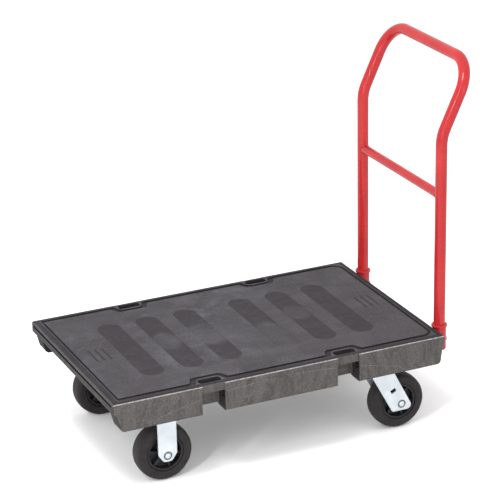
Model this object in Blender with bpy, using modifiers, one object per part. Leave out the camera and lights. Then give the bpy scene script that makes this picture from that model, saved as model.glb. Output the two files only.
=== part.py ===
"""Flatbed platform truck: a moulded deck on two fixed and two swivel castors, with a bent steel push handle.

Units are metres and +Z is up. +X points to the handle end. The origin is on the floor, under the middle of
the whole truck, and the empty "truck" carries the deck's own middle, which lies nearer the tail end.
"""

import math

import bmesh
import bpy
from mathutils import Matrix, Vector

# ---------------------------------------------------------------- driving dimensions
GAP = 0.0003                 # clearance between touching pieces
WELD_DISTANCE = 0.00001
PAST = 0.01                  # how far a cutter runs past the faces it opens
OVERLAP = 0.002              # how far two joined shapes run into each other
FINE_SIDES = 12              # facets round pins, bores and bushings
BOLT_SIDES = 10

DECK_LENGTH = 0.956
DECK_WIDTH = 0.610
DECK_TOP = 0.2765            # load surface above the floor
DECK_UNDERSIDE = 0.2460
EDGE_RADIUS = 0.0038
RAIL_EDGE_RADIUS = 0.0031
RIM_WIDTH = 0.0172           # the rim falls outward over this width
RIM_FALL = 0.0025
SKIN_TOP = 0.2670            # inside face of the load skin
RIM_SKIN_TOP = 0.2650        # inside face of the skin over the side rails
END_WALL = 0.016             # solid rim across each end of the slab
BAY_COLUMNS = 5              # open bays between the castor mounts
BAY_ROWS = 5
END_BAY_ROWS = 3
MOUNT_BAY_COLUMNS = 2        # bays beside a castor mount

PANEL_TAIL = -0.4525         # the raised panel inside the groove
PANEL_HANDLE = 0.4505
PANEL_HALF_WIDTH = 0.2745
GROOVE_TAIL = 0.006
GROOVE_HANDLE = 0.008
GROOVE_SIDE = 0.012
GROOVE_DEPTH = 0.004
PANEL_TAIL_RADIUS = 0.004
PANEL_HANDLE_RADIUS = 0.022

SLOT_MIDDLE = -0.0065
SLOT_HALF_PITCH = 0.1945
SLOT_LENGTH = 0.062
SLOT_INNER = 0.264
SLOT_OUTER = 0.2885
SLOT_CORNER = 0.008
NOTCH_LENGTH = 0.063
NOTCH_DEPTH = 0.004
POCKET_LENGTH = 0.0644
BULGE_BASE = 0.054           # half lengths of the groove's bulge round a slot
BULGE_TIP = 0.042
BULGE_REACH = 0.0285
BULGE_BASE_RADIUS = 0.008
BULGE_TIP_RADIUS = 0.014
POCKET_TOP = 0.2525
POCKET_BACK_BOTTOM = 0.2030

PAD_MIDDLE = -0.002
PAD_FIRST = 0.0834           # smooth obround pads, from their middle outward
PAD_PITCH = 0.1120
PAD_COUNT_EACH_SIDE = 3
PAD_WIDTH = 0.066
PAD_HALF_LENGTH = 0.1835
PAD_DEPTH = 0.0006
PAD_ROUNDNESS = 0.999        # share of a half circle, so that the two end arcs don't meet

RAIL_BOTTOM = 0.1940
RAIL_TOP = 0.2505
RAIL_INNER = 0.253
RAIL_WALL = 0.006            # walls and ribs under the deck
RAIL_WAIST = 0.2410           # the ends lean in more below this height
TAIL_SETBACKS = (0.0015, 0.0085, 0.0205)      # from the deck's end, at the rail's top, waist and bottom
HANDLE_SETBACKS = (0.0020, 0.0050, 0.0115)
RAIL_WAIST_RADIUS = 0.030
RAIL_BOTTOM_RADIUS = 0.012
RAIL_HOLLOW_END = 0.440
RAIL_MIDDLE_CELLS = 4
RAIL_MOUNT_CELLS = 2
RAIL_WINDOW_BOTTOM = 0.2275
RAIL_WINDOW_DROP = 0.0025    # from the pocket's top to the window's top
RAIL_WINDOW_INTO = 0.004     # how far a window runs into the hollows
RAIL_WINDOW_EDGE = 0.001
END_GROOVE_LOW = 0.2615
END_GROOVE_HIGH = 0.2685
END_GROOVE_DEPTH = 0.007
END_GROOVE_HALF = 0.290

RELIEF_HEIGHT = 0.0008       # raised fields on the side rails reach the full width
RELIEF_INSET = 0.006
RELIEF_ARCH_FOOT = 0.2495
RELIEF_ARCH_RISE = 0.0075
RELIEF_ARCH_STEPS = 6
RELIEF_SWEEP_TOP = 0.2400
RELIEF_SWEEP_LOW = 0.2155
RELIEF_SWEEP_LENGTH = 0.112
RELIEF_SWEEP_END = 0.130
RELIEF_BENDS = (0.004, 0.012)
SLAB_SIDE = DECK_WIDTH / 2 - RELIEF_HEIGHT
RAIL_SIDE = SLAB_SIDE - 0.0004

CASTOR_TOP = 0.1935
CASTOR_X = 0.3165            # fixed castors at -CASTOR_X, swivel axes at +CASTOR_X
CASTOR_Y = 0.2205
MOUNT_LENGTH = 0.130         # moulded mounting block
MOUNT_WIDTH = 0.108
BLOCK_WALL = 0.008
BLOCK_CORNER_HALF = 0.0135    # half the solid corner round each bolt
PLATE_LENGTH = 0.114
PLATE_WIDTH = 0.102
PLATE_THICKNESS = 0.005
PLATE_CORNER = 0.010
BOLT_HALF_X = 0.046
BOLT_HALF_Y = 0.0335
BOLT_RADIUS = 0.0048
BOLT_HOLE_RADIUS = 0.0053
BOLT_REACH = 0.032           # shank above the castor plate
BOLT_HOLE_DEPTH = 0.036
BOLT_HEAD_RADIUS = 0.0092
BOLT_HEAD_HEIGHT = 0.0062

WHEEL_RADIUS = 0.078
WHEEL_STEPS = 24             # hub and tyre share their facets
TYRE_WIDTH = 0.053
TYRE_INNER_RADIUS = 0.0505
SHOULDER = 0.013
SHOULDER_STEPS = 3
TYRE_CROWN = 0.0012
TYRE_LIP = 0.004
HUB_BORE = 0.0098
HUB_BOSS_RADIUS = 0.0185
HUB_BOSS_HALF = 0.0335
HUB_RIM_HALF = 0.0225
HUB_WEB_HALF = 0.0035
HUB_RIM_THICKNESS = 0.0065
HUB_SPOKES = 6
SPOKE_WIDTH = 0.0075
SPOKE_HALF = 0.0165
BUSHING_RADIUS = 0.0095
AXLE_RADIUS = 0.0062
AXLE_HOLE_RADIUS = 0.0065
AXLE_HEAD_RADIUS = 0.0092
AXLE_HEAD_EDGE_RADIUS = 0.0080
AXLE_HEAD_EDGE = 0.0025
AXLE_HEAD_HEIGHT = 0.0030
AXLE_TAIL = 0.0135           # thread past the fork, under the nut
NUT_RADIUS = 0.0110
NUT_THICKNESS = 0.0100

FORK_GAP_HALF = 0.0350
FORK_THICKNESS = 0.005
FORK_OUTER = FORK_GAP_HALF + FORK_THICKNESS
DIMPLE_RADIUS = 0.0112
DIMPLE_DEPTH = 0.0016
FIXED_LEG_WIDTH = 0.0525
FIXED_LEG_SHOULDER = 0.004   # above the axle, where the leg starts to narrow
FIXED_LEG_TIP = 0.0170       # below the axle
FIXED_TIP_HALF = 0.0115
FIXED_SHOULDER_RADIUS = 0.012
FIXED_TIP_RADIUS = 0.012
SWIVEL_TRAIL = 0.055         # wheel axle behind the swivel axis
SWIVEL_LEG_WIDTH = 0.0665    # measured level, so square across it is narrower
SWIVEL_LEG_SLANT = math.radians(27.3)
SWIVEL_LEG_LOW_WIDTH = 0.0640
SWIVEL_LEG_TIP = 0.0185      # below the axle
SWIVEL_LEG_FRONT = 0.0360    # past the axle, at the tip
SWIVEL_FRONT_RADIUS = 0.012
SWIVEL_BACK_RADIUS = 0.006
FORK_WINDOW_LIFT = 0.0435
FORK_WINDOW_SHIFT = 0.0035
FORK_WINDOW_HALF_LENGTH = 0.0080
FORK_WINDOW_HALF_HEIGHT = 0.0056
CROWN_TOP = 0.1752
CROWN_THICKNESS = 0.005
CROWN_RADIUS = 0.034
CROWN_CORNER = 0.008
RACE_RADIUS = 0.037
RACE_INNER = 0.0200
RACE_WAIST = 0.002
RACE_LIP = 0.001
RACE_STEP = 0.0015
RACE_SIDES = 20
KINGPIN_RADIUS = 0.0085
KINGPIN_HOLE_RADIUS = 0.0092
KINGPIN_RECESS = 0.0006      # its flat end lies this far below the plate's top
KINGPIN_NUT_RADIUS = 0.0125
KINGPIN_NUT_HEIGHT = 0.0080
KINGPIN_TAIL = 0.0100
KINGPIN_THREAD = 0.001       # the thread is this much thinner

TUBE_RADIUS = 0.015875
TUBE_WALL = 0.002
TUBE_SIDES_RESOLUTION = 4
COPE_SIDES = 32
SOCKET_SIDES = 16
HANDLE_X = 0.506
HANDLE_Y = 0.2235
HANDLE_FOOT = 0.2080
HANDLE_KNEE = 0.8080
HANDLE_TOP_X = 0.5955
HANDLE_TOP = 0.9980
KNEE_RADIUS = 0.110
CORNER_RADIUS = 0.085
CROSSBAR_HEIGHT = 0.6440
CROSSBAR_RADIUS = 0.0127

SOCKET_RADIUS = 0.0190
SOCKET_COLLAR_RADIUS = 0.0200
SOCKET_BOTTOM = 0.2005
SOCKET_TOP = 0.2745
SOCKET_EDGE = 0.002
COLLAR_HEIGHT = 0.005
COLLAR_STEP = 0.001
SOCKET_FLOOR = 0.005
SOCKET_DRAIN = 0.005
TONGUE_INNER = 0.388
TONGUE_HALF_WIDTH = 0.022
TONGUE_THICKNESS = 0.005
TONGUE_CORNER = 0.008
TONGUE_BOLT_XS = (0.406, 0.446)
TONGUE_BOLT_REACH = 0.020
TONGUE_BOLT_HEAD_RADIUS = 0.0085
TONGUE_BOLT_HEAD_HEIGHT = 0.0055
TONGUE_HOLE_TOP = SKIN_TOP - 0.002
RETAINER_HEIGHT = 0.2280
RETAINER_RADIUS = 0.0040
RETAINER_HEAD = ((0.0072, 0.0), (0.0070, 0.0022), (0.0045, 0.0047), (0.0, 0.0052))

TRUCK_SHIFT = -(HANDLE_TOP_X + TUBE_RADIUS - DECK_LENGTH / 2) / 2

SIDES = {"left": 1, "right": -1}
SLOT_XS = (SLOT_MIDDLE - SLOT_HALF_PITCH, SLOT_MIDDLE + SLOT_HALF_PITCH)

PARTS = "flatbed_platform_truck"
CUTTERS = "cutters"


# ---------------------------------------------------------------- scene, collections and materials
def clear_scene():
    for item in list(bpy.data.objects):
        bpy.data.objects.remove(item, do_unlink=True)


def new_collection(name):
    collection = bpy.data.collections.new(name)
    bpy.context.scene.collection.children.link(collection)
    return collection


def new_material(name, colour, roughness, metallic=0.0):
    material = bpy.data.materials.new(name)
    material.use_nodes = True
    shader = material.node_tree.nodes["Principled BSDF"]
    shader.inputs["Base Color"].default_value = (*colour, 1.0)
    shader.inputs["Roughness"].default_value = roughness
    shader.inputs["Metallic"].default_value = metallic
    return material


# ---------------------------------------------------------------- outlines
def rounded(corners):
    """A closed outline from (x, y, radius, steps) corners. Each becomes an arc that touches both sides."""
    points = []
    for index, (x, y, radius, steps) in enumerate(corners):
        here = Vector((x, y))
        if radius == 0:
            points.append(here)
            continue
        before = (Vector(corners[index - 1][:2]) - here).normalized()
        after = (Vector(corners[(index + 1) % len(corners)][:2]) - here).normalized()
        half = before.angle(after) / 2
        centre = here + (before + after).normalized() * radius / math.sin(half)
        start = here + before * radius / math.tan(half) - centre
        turn = (math.pi - 2 * half) * (1 if before.cross(after) < 0 else -1)
        for step in range(steps + 1):
            spin = Matrix.Rotation(turn * step / steps, 2)
            points.append(centre + spin @ start)
    return points


def rectangle(low_x, high_x, low_y, high_y, radius=0.0, steps=2):
    corners = ((low_x, low_y), (high_x, low_y), (high_x, high_y), (low_x, high_y))
    return rounded([(x, y, radius, steps) for x, y in corners])


# ---------------------------------------------------------------- solids as plain meshes
def mesh_from(bm, name):
    mesh = bpy.data.meshes.new(name)
    bm.to_mesh(mesh)
    bm.free()
    return mesh


def box_mesh(name, boxes):
    """Separate boxes, each ((low corner), (high corner))."""
    bm = bmesh.new()
    for low, high in boxes:
        low, high = Vector(low), Vector(high)
        place = Matrix.Translation((low + high) / 2) @ Matrix.Diagonal((*(high - low), 1))
        bmesh.ops.create_cube(bm, size=1, matrix=place)
    return mesh_from(bm, name)


def rod_mesh(name, rods, radius, sides):
    """Separate round rods, each (start, end)."""
    bm = bmesh.new()
    for start, end in rods:
        start, end = Vector(start), Vector(end)
        turn = Vector((0, 0, 1)).rotation_difference(end - start).to_matrix().to_4x4()
        phase = Matrix.Rotation(math.pi / sides, 4, "Z")
        place = Matrix.Translation((start + end) / 2) @ turn @ phase
        bmesh.ops.create_cone(bm, cap_ends=True, segments=sides, radius1=radius, radius2=radius,
                              depth=(end - start).length, matrix=place)
    return mesh_from(bm, name)


def plate_mesh(name, groups, low, high, upright=False):
    """Flat plates from low to high. Each group is an outline and its holes. Upright plates stand in XZ."""
    curve = bpy.data.curves.new(name, "CURVE")
    curve.dimensions = "2D"
    curve.fill_mode = "BOTH"
    curve.extrude = (high - low) / 2
    for outline in groups:
        spline = curve.splines.new("POLY")
        spline.points.add(len(outline) - 1)
        for point, place in zip(spline.points, outline):
            point.co = (place[0], place[1], 0, 1)
        spline.use_cyclic_u = True
    holder = bpy.data.objects.new(name, curve)
    bpy.context.scene.collection.objects.link(holder)
    mesh = bpy.data.meshes.new_from_object(holder.evaluated_get(bpy.context.evaluated_depsgraph_get()))
    bpy.data.objects.remove(holder)
    bpy.data.curves.remove(curve)
    bm = bmesh.new()
    bm.from_mesh(mesh)
    bmesh.ops.remove_doubles(bm, verts=bm.verts, dist=WELD_DISTANCE)
    bmesh.ops.dissolve_limit(bm, angle_limit=0.001, verts=bm.verts, edges=bm.edges)
    bmesh.ops.translate(bm, verts=bm.verts, vec=(0, 0, (low + high) / 2))
    if upright:
        bmesh.ops.rotate(bm, verts=bm.verts, matrix=Matrix.Rotation(math.pi / 2, 3, "X"))
        bmesh.ops.translate(bm, verts=bm.verts, vec=(0, low + high, 0))
    bmesh.ops.recalc_face_normals(bm, faces=bm.faces)
    bm.to_mesh(mesh)
    bm.free()
    return mesh


def turned_mesh(name, profile, steps, axis="Z"):
    """A profile of (radius, height) points turned about Z, or about Y. A ring's profile is closed."""
    bm = bmesh.new()
    points = [bm.verts.new((radius, 0, height)) for radius, height in profile]
    on_axis = profile[0][0] == 0
    pairs = list(zip(points, points[1:])) + ([] if on_axis else [(points[-1], points[0])])
    edges = [bm.edges.new(pair) for pair in pairs]
    bmesh.ops.spin(bm, geom=points + edges, angle=2 * math.pi, steps=steps, axis=(0, 0, 1), use_merge=True)
    bmesh.ops.remove_doubles(bm, verts=bm.verts, dist=WELD_DISTANCE)
    bmesh.ops.recalc_face_normals(bm, faces=bm.faces)
    if axis == "Y":
        bmesh.ops.rotate(bm, verts=bm.verts, matrix=Matrix.Rotation(math.pi / 2, 3, "X"))
    return mesh_from(bm, name)


# ---------------------------------------------------------------- objects
class Workshop:
    """Holds the two collections and makes the objects that go in them."""

    def __init__(self):
        self.parts = new_collection(PARTS)
        self.cutters = new_collection(CUTTERS)

    def part(self, name, mesh, material, parent, place=(0, 0, 0), smooth=30.0):
        made = bpy.data.objects.new(name, mesh)
        self.parts.objects.link(made)
        made.parent = parent
        made.location = place
        if not mesh.materials:
            mesh.materials.append(material)
        mesh.shade_smooth()
        mesh.set_sharp_from_angle(angle=math.radians(smooth))
        return made

    def empty(self, name, parent=None, place=(0, 0, 0)):
        made = bpy.data.objects.new(name, None)
        made.empty_display_size = 0.02
        self.parts.objects.link(made)
        made.parent = parent
        made.location = place
        return made

    def cutter(self, name, mesh, parent):
        made = bpy.data.objects.new(name, mesh)
        self.cutters.objects.link(made)
        made.parent = parent
        made.hide_render = True
        made.display_type = "WIRE"
        return made

    def combine(self, name, base, steps):
        """One mesh from a base mesh and a list of (operation, mesh) steps, done with Boolean modifiers."""
        body = bpy.data.objects.new(name, base)
        bpy.context.scene.collection.objects.link(body)
        tools = []
        for operation, mesh in steps:
            tool = bpy.data.objects.new(mesh.name, mesh)
            bpy.context.scene.collection.objects.link(tool)
            tools.append(tool)
            modifier = body.modifiers.new(mesh.name, "BOOLEAN")
            modifier.operation = operation
            modifier.object = tool
        graph = bpy.context.evaluated_depsgraph_get()
        result = bpy.data.meshes.new_from_object(body.evaluated_get(graph))
        for item in [body, *tools]:
            bpy.data.objects.remove(item)
        result.name = name
        return result


def add_boolean(target, tool, operation="DIFFERENCE"):
    modifier = target.modifiers.new(tool.name, "BOOLEAN")
    modifier.operation = operation
    modifier.object = tool


# ---------------------------------------------------------------- deck
def deck_outline():
    half = DECK_LENGTH / 2
    side = SLAB_SIDE
    near = [(-half, -side)]
    for middle in SLOT_XS:
        low, high = middle - NOTCH_LENGTH / 2, middle + NOTCH_LENGTH / 2
        near += [(low, -side), (low, NOTCH_DEPTH - side), (high, NOTCH_DEPTH - side), (high, -side)]
    near.append((half, -side))
    return near + [(x, -y) for x, y in reversed(near)]


def deck_slab():
    """The load slab: notched outline, a rim that falls outward, and rounded outer edges."""
    mesh = plate_mesh("deck_slab", [deck_outline()], DECK_UNDERSIDE, DECK_TOP - RIM_FALL)
    bm = bmesh.new()
    bm.from_mesh(mesh)
    top = max(bm.faces, key=lambda face: face.calc_center_median().z)
    bmesh.ops.inset_individual(bm, faces=[top], thickness=RIM_WIDTH, depth=RIM_FALL, use_even_offset=True)
    level = DECK_TOP - RIM_FALL
    outer = [e for e in bm.edges if all(abs(v.co.z - level) < WELD_DISTANCE for v in e.verts)]
    tall = (level - DECK_UNDERSIDE) / 2
    upright = [e for e in bm.edges if abs(e.verts[0].co.z - e.verts[1].co.z) > tall]
    bmesh.ops.bevel(bm, geom=outer + upright, offset=EDGE_RADIUS, segments=2, profile=0.5, affect="EDGES",
                    clamp_overlap=True)
    bm.to_mesh(mesh)
    bm.free()
    return mesh


def rail_profile():
    """One side rail seen from the side, with its ends leaning in toward the bottom."""
    half = DECK_LENGTH / 2
    heights = ((RAIL_TOP, 0, 0), (RAIL_WAIST, RAIL_WAIST_RADIUS, 2), (RAIL_BOTTOM, RAIL_BOTTOM_RADIUS, 4))
    tail = [(back - half, *rest) for back, rest in zip(TAIL_SETBACKS, heights)]
    handle = [(half - back, *rest) for back, rest in zip(HANDLE_SETBACKS, heights)]
    return rounded(tail + handle[::-1])


def rail_mesh(sign):
    low, high = sorted((sign * RAIL_INNER, sign * RAIL_SIDE))
    mesh = plate_mesh("side_rail", [rail_profile()], low, high, upright=True)
    bm = bmesh.new()
    bm.from_mesh(mesh)
    outside = sign * RAIL_SIDE
    rim = [e for e in bm.edges if all(abs(v.co.y - outside) < WELD_DISTANCE for v in e.verts)]
    bmesh.ops.bevel(bm, geom=rim, offset=RAIL_EDGE_RADIUS, segments=2, profile=0.5, affect="EDGES")
    bm.to_mesh(mesh)
    bm.free()
    return mesh


def mirrored_boxes(boxes):
    """The same boxes on both sides of the truck."""
    flipped = [((lx, -hy, lz), (hx, -ly, hz)) for (lx, ly, lz), (hx, hy, hz) in boxes]
    return list(boxes) + flipped


def mount_blocks():
    boxes = [((x - MOUNT_LENGTH / 2, CASTOR_Y - MOUNT_WIDTH / 2, CASTOR_TOP + GAP),
              (x + MOUNT_LENGTH / 2, CASTOR_Y + MOUNT_WIDTH / 2, RAIL_TOP)) for x in (-CASTOR_X, CASTOR_X)]
    return box_mesh("mount_blocks", mirrored_boxes(boxes))


def pocket_cutter():
    """Hand space under each slot, open to the side and below."""
    half = POCKET_LENGTH / 2
    boxes = [((x - half, SLOT_INNER, RAIL_BOTTOM - PAST), (x + half, DECK_WIDTH / 2 + PAST, POCKET_TOP))
             for x in SLOT_XS]
    return box_mesh("pocket_cutter", mirrored_boxes(boxes))


def cells(low, high, count):
    """Equal stretches from low to high with a rib between neighbours."""
    step = (high - low + RAIL_WALL) / count
    return [(low + k * step, low + (k + 1) * step - RAIL_WALL) for k in range(count)]


def bay_boxes():
    """Open bays between the ribs under the load skin."""
    low_z = DECK_UNDERSIDE - PAST
    mount_low, mount_high = CASTOR_X - MOUNT_LENGTH / 2, CASTOR_X + MOUNT_LENGTH / 2
    middle = mount_low - RAIL_WALL
    inner_side = RAIL_INNER - RAIL_WALL
    block_side = CASTOR_Y - MOUNT_WIDTH / 2 - RAIL_WALL
    end_columns = cells(mount_low, mount_high, MOUNT_BAY_COLUMNS)
    end_columns.append((mount_high + RAIL_WALL, DECK_LENGTH / 2 - END_WALL))
    end_columns += [(-high, -low) for low, high in end_columns]
    grids = ((cells(-middle, middle, BAY_COLUMNS), cells(-inner_side, inner_side, BAY_ROWS)),
             (end_columns, cells(-block_side, block_side, END_BAY_ROWS)))
    return [((low_x, low_y, low_z), (high_x, high_y, SKIN_TOP))
            for columns, rows in grids for low_x, high_x in columns for low_y, high_y in rows]


def rail_boxes():
    """Hollows inside the side rails, open below, and the raised bottom behind each pocket."""
    low_z = RAIL_BOTTOM - PAST
    inner, outer = RAIL_INNER + RAIL_WALL, DECK_WIDTH / 2 - RAIL_WALL
    mount_low, mount_high = CASTOR_X - MOUNT_LENGTH / 2, CASTOR_X + MOUNT_LENGTH / 2
    beside_mount = CASTOR_Y + MOUNT_WIDTH / 2 + RAIL_WALL
    half = POCKET_LENGTH / 2
    first, last = SLOT_XS[0] + half + RAIL_WALL, SLOT_XS[1] - half - RAIL_WALL
    spans = [(low, high, inner) for low, high in cells(first, last, RAIL_MIDDLE_CELLS)]
    for start, end in ((mount_low, mount_high), (-mount_high, -mount_low)):
        spans += [(low, high, beside_mount) for low, high in cells(start, end, RAIL_MOUNT_CELLS)]
    spans += [(mount_high + RAIL_WALL, RAIL_HOLLOW_END, inner),
              (-RAIL_HOLLOW_END, -mount_high - RAIL_WALL, inner)]
    boxes = [((low, start, low_z), (high, outer, RIM_SKIN_TOP)) for low, high, start in spans]
    wide, back = half + RELIEF_HEIGHT, SLOT_INNER + RELIEF_HEIGHT
    boxes += [((x - wide, RAIL_INNER - GAP, low_z), (x + wide, back, POCKET_BACK_BOTTOM)) for x in SLOT_XS]
    return mirrored_boxes(boxes)


def rail_window_boxes():
    """Openings from the hollow rails into the pockets."""
    near = POCKET_LENGTH / 2 - GAP
    past_rib = POCKET_LENGTH / 2 + RAIL_WALL + RAIL_WINDOW_INTO
    past_mount = CASTOR_X - MOUNT_LENGTH / 2 + RAIL_WINDOW_INTO
    tail, handle = SLOT_XS
    start = CASTOR_Y + MOUNT_WIDTH / 2 + RAIL_WALL + RAIL_WINDOW_EDGE
    outer = DECK_WIDTH / 2 - RAIL_WALL - RAIL_WINDOW_EDGE
    spans = ((-past_mount, tail - near), (tail + near, tail + past_rib), (handle - past_rib, handle - near),
             (handle + near, past_mount))
    return mirrored_boxes([((low, start, RAIL_WINDOW_BOTTOM), (high, outer, POCKET_TOP - RAIL_WINDOW_DROP))
                           for low, high in spans])


def block_hollow_boxes():
    """Hollows in the mounting blocks, which leave a solid corner round each castor bolt."""
    long_x, long_y = MOUNT_LENGTH / 2 - BLOCK_WALL, MOUNT_WIDTH / 2 - BLOCK_WALL
    inner_x = BOLT_HALF_X - BLOCK_CORNER_HALF
    inner_y = BOLT_HALF_Y - BLOCK_CORNER_HALF
    shapes = ((-inner_x + RAIL_WALL, inner_x - RAIL_WALL, long_y), (-long_x, -inner_x, inner_y),
              (inner_x, long_x, inner_y))
    boxes = []
    for x in (-CASTOR_X, CASTOR_X):
        for low_x, high_x, half_y in shapes:
            boxes.append(((x + low_x, CASTOR_Y - half_y, CASTOR_TOP - PAST),
                          (x + high_x, CASTOR_Y + half_y, SKIN_TOP)))
    return mirrored_boxes(boxes)


def bolt_places():
    """Castor bolt centres, as (castor x, castor y, bolt x, bolt y)."""
    for x in (-CASTOR_X, CASTOR_X):
        for y in (CASTOR_Y, -CASTOR_Y):
            for dx in (-BOLT_HALF_X, BOLT_HALF_X):
                for dy in (-BOLT_HALF_Y, BOLT_HALF_Y):
                    yield x, y, x + dx, y + dy


def bulge(middle, side, grow):
    """The groove's way round a slot, grown outward from the panel by grow."""
    base, tip = BULGE_BASE - grow, BULGE_TIP - grow
    edge = side * (PANEL_HALF_WIDTH + grow)
    reach = side * (PANEL_HALF_WIDTH + grow - BULGE_REACH)
    corners = [(middle - base, edge, BULGE_BASE_RADIUS, 2), (middle - tip, reach, BULGE_TIP_RADIUS, 3),
               (middle + tip, reach, BULGE_TIP_RADIUS, 3), (middle + base, edge, BULGE_BASE_RADIUS, 2)]
    return corners if side < 0 else list(reversed(corners))


def panel_loop(grow):
    """Edge of the raised panel, or of the groove outside it when grow is above zero."""
    share = grow / GROOVE_SIDE
    tail = PANEL_TAIL - share * GROOVE_TAIL
    handle = PANEL_HANDLE + share * GROOVE_HANDLE
    side = PANEL_HALF_WIDTH + grow
    handle_radius = PANEL_HANDLE_RADIUS + grow
    corners = [(tail, -side, PANEL_TAIL_RADIUS, 2)]
    for middle in SLOT_XS:
        corners += bulge(middle, -1, grow)
    corners += [(handle, -side, handle_radius, 5), (handle, side, handle_radius, 5)]
    for middle in reversed(SLOT_XS):
        corners += bulge(middle, 1, grow)
    corners.append((tail, side, PANEL_TAIL_RADIUS, 2))
    return rounded(corners)


def pad_loops():
    loops = []
    half = PAD_WIDTH / 2
    corner = half * PAD_ROUNDNESS
    for sign in (-1, 1):
        for k in range(PAD_COUNT_EACH_SIDE):
            x = PAD_MIDDLE + sign * (PAD_FIRST + k * PAD_PITCH)
            loops.append(rectangle(x - half, x + half, -PAD_HALF_LENGTH, PAD_HALF_LENGTH, corner, 4))
    return loops


def slot_loops():
    half = SLOT_LENGTH / 2
    loops = []
    for x in SLOT_XS:
        loops.append(rectangle(x - half, x + half, SLOT_INNER, SLOT_OUTER, SLOT_CORNER, 3))
        loops.append(rectangle(x - half, x + half, -SLOT_OUTER, -SLOT_INNER, SLOT_CORNER, 3))
    return loops


def end_groove_boxes():
    face = DECK_LENGTH / 2
    low, high = face - END_GROOVE_DEPTH, face + PAST
    spans = ((low, high), (-high, -low))
    return [((a, -END_GROOVE_HALF, END_GROOVE_LOW), (b, END_GROOVE_HALF, END_GROOVE_HIGH)) for a, b in spans]


def relief_mesh(sign):
    """Raised fields on one side rail: an arch in the middle and a sweep toward each end."""
    reach, low = POCKET_LENGTH / 2 + RELIEF_INSET, RAIL_BOTTOM + RELIEF_INSET
    first, last = SLOT_XS[0] + reach, SLOT_XS[1] - reach
    middle, span = (first + last) / 2, (last - first) / 2
    arch = []
    for k in range(RELIEF_ARCH_STEPS + 1):
        share = 1 - 2 * k / RELIEF_ARCH_STEPS
        arch.append((middle + share * span, RELIEF_ARCH_FOOT + RELIEF_ARCH_RISE * (1 - share * share)))
    fields = [[(first, low), (last, low), *arch]]
    for direction, slot in ((-1, SLOT_XS[0]), (1, SLOT_XS[1])):
        near = slot + direction * reach
        loop = rounded([(near, low, 0, 0), (near, RELIEF_SWEEP_TOP, RELIEF_BENDS[0], 2),
                        (near + direction * RELIEF_SWEEP_LENGTH, RELIEF_SWEEP_LOW, RELIEF_BENDS[1], 4),
                        (near + direction * RELIEF_SWEEP_END, low, 0, 0)])
        fields.append(loop if direction < 0 else loop[::-1])
    low, high = sorted((sign * (SLAB_SIDE - OVERLAP), sign * DECK_WIDTH / 2))
    return plate_mesh("rail_relief", fields, low, high, upright=True)


def make_deck(shop, truck, material):
    bolts = [((bx, by, CASTOR_TOP - PAST), (bx, by, CASTOR_TOP + BOLT_HOLE_DEPTH))
             for _, _, bx, by in bolt_places()]
    bolts += [((x, side * HANDLE_Y, DECK_UNDERSIDE - PAST), (x, side * HANDLE_Y, TONGUE_HOLE_TOP))
              for x in TONGUE_BOLT_XS for side in SIDES.values()]
    shape = shop.combine("deck_shape", deck_slab(), [
        ("UNION", rail_mesh(1)), ("UNION", rail_mesh(-1)), ("UNION", mount_blocks()),
        ("UNION", relief_mesh(1)), ("UNION", relief_mesh(-1))])
    deck = shop.part("deck", shape, material, truck, smooth=35.0)
    groove = [panel_loop(GROOVE_SIDE), panel_loop(0.0)]
    tools = [
        pocket_cutter(),
        box_mesh("bay_cutter", bay_boxes()),
        box_mesh("rail_hollow_cutter", rail_boxes()),
        box_mesh("rail_window_cutter", rail_window_boxes()),
        box_mesh("block_hollow_cutter", block_hollow_boxes()),
        plate_mesh("slot_cutter", slot_loops(), POCKET_TOP - PAST, DECK_TOP + PAST),
        plate_mesh("groove_cutter", groove, DECK_TOP - GROOVE_DEPTH, DECK_TOP + PAST),
        plate_mesh("pad_cutter", pad_loops(), DECK_TOP - PAD_DEPTH, DECK_TOP + PAST),
        box_mesh("end_groove_cutter", end_groove_boxes()),
        rod_mesh("bolt_hole_cutter", bolts, BOLT_HOLE_RADIUS, BOLT_SIDES),
    ]
    for mesh in tools:
        add_boolean(deck, shop.cutter(mesh.name, mesh, truck))


# ---------------------------------------------------------------- fasteners
def hex_bolt_mesh(shop, name, reach, head_radius, head_height):
    """A bolt whose head's underside lies at the origin and whose shank points up +Z."""
    head = rod_mesh(name, [((0, 0, -head_height), (0, 0, 0))], head_radius, 6)
    shank = rod_mesh("shank", [((0, 0, -head_height / 2), (0, 0, reach))], BOLT_RADIUS, BOLT_SIDES)
    return shop.combine(name, head, [("UNION", shank)])


def make_castor_bolts(shop, truck, material):
    mesh = hex_bolt_mesh(shop, "castor_bolt", BOLT_REACH + PLATE_THICKNESS, BOLT_HEAD_RADIUS,
                         BOLT_HEAD_HEIGHT)
    ends = {-CASTOR_X: "fixed", CASTOR_X: "swivel"}
    sides = {CASTOR_Y: "left", -CASTOR_Y: "right"}
    counts = {}
    for x, y, bolt_x, bolt_y in bolt_places():
        owner = f"{ends[x]}_{sides[y]}"
        counts[owner] = counts.get(owner, 0) + 1
        place = (bolt_x, bolt_y, CASTOR_TOP - PLATE_THICKNESS - GAP)
        shop.part(f"castor_bolt_{owner}_{counts[owner]}", mesh, material, truck, place)


# ---------------------------------------------------------------- wheels
def tyre_profile():
    half = TYRE_WIDTH / 2
    inner = TYRE_INNER_RADIUS
    side = [(inner, -half + TYRE_LIP), (inner + TYRE_LIP, -half)]
    middle = WHEEL_RADIUS - TYRE_CROWN - SHOULDER
    for k in range(SHOULDER_STEPS + 1):
        angle = math.pi / 2 * k / SHOULDER_STEPS
        side.append((middle + SHOULDER * math.sin(angle), -half + SHOULDER * (1 - math.cos(angle))))
    return side + [(WHEEL_RADIUS, 0)] + [(r, -z) for r, z in reversed(side)]


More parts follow.
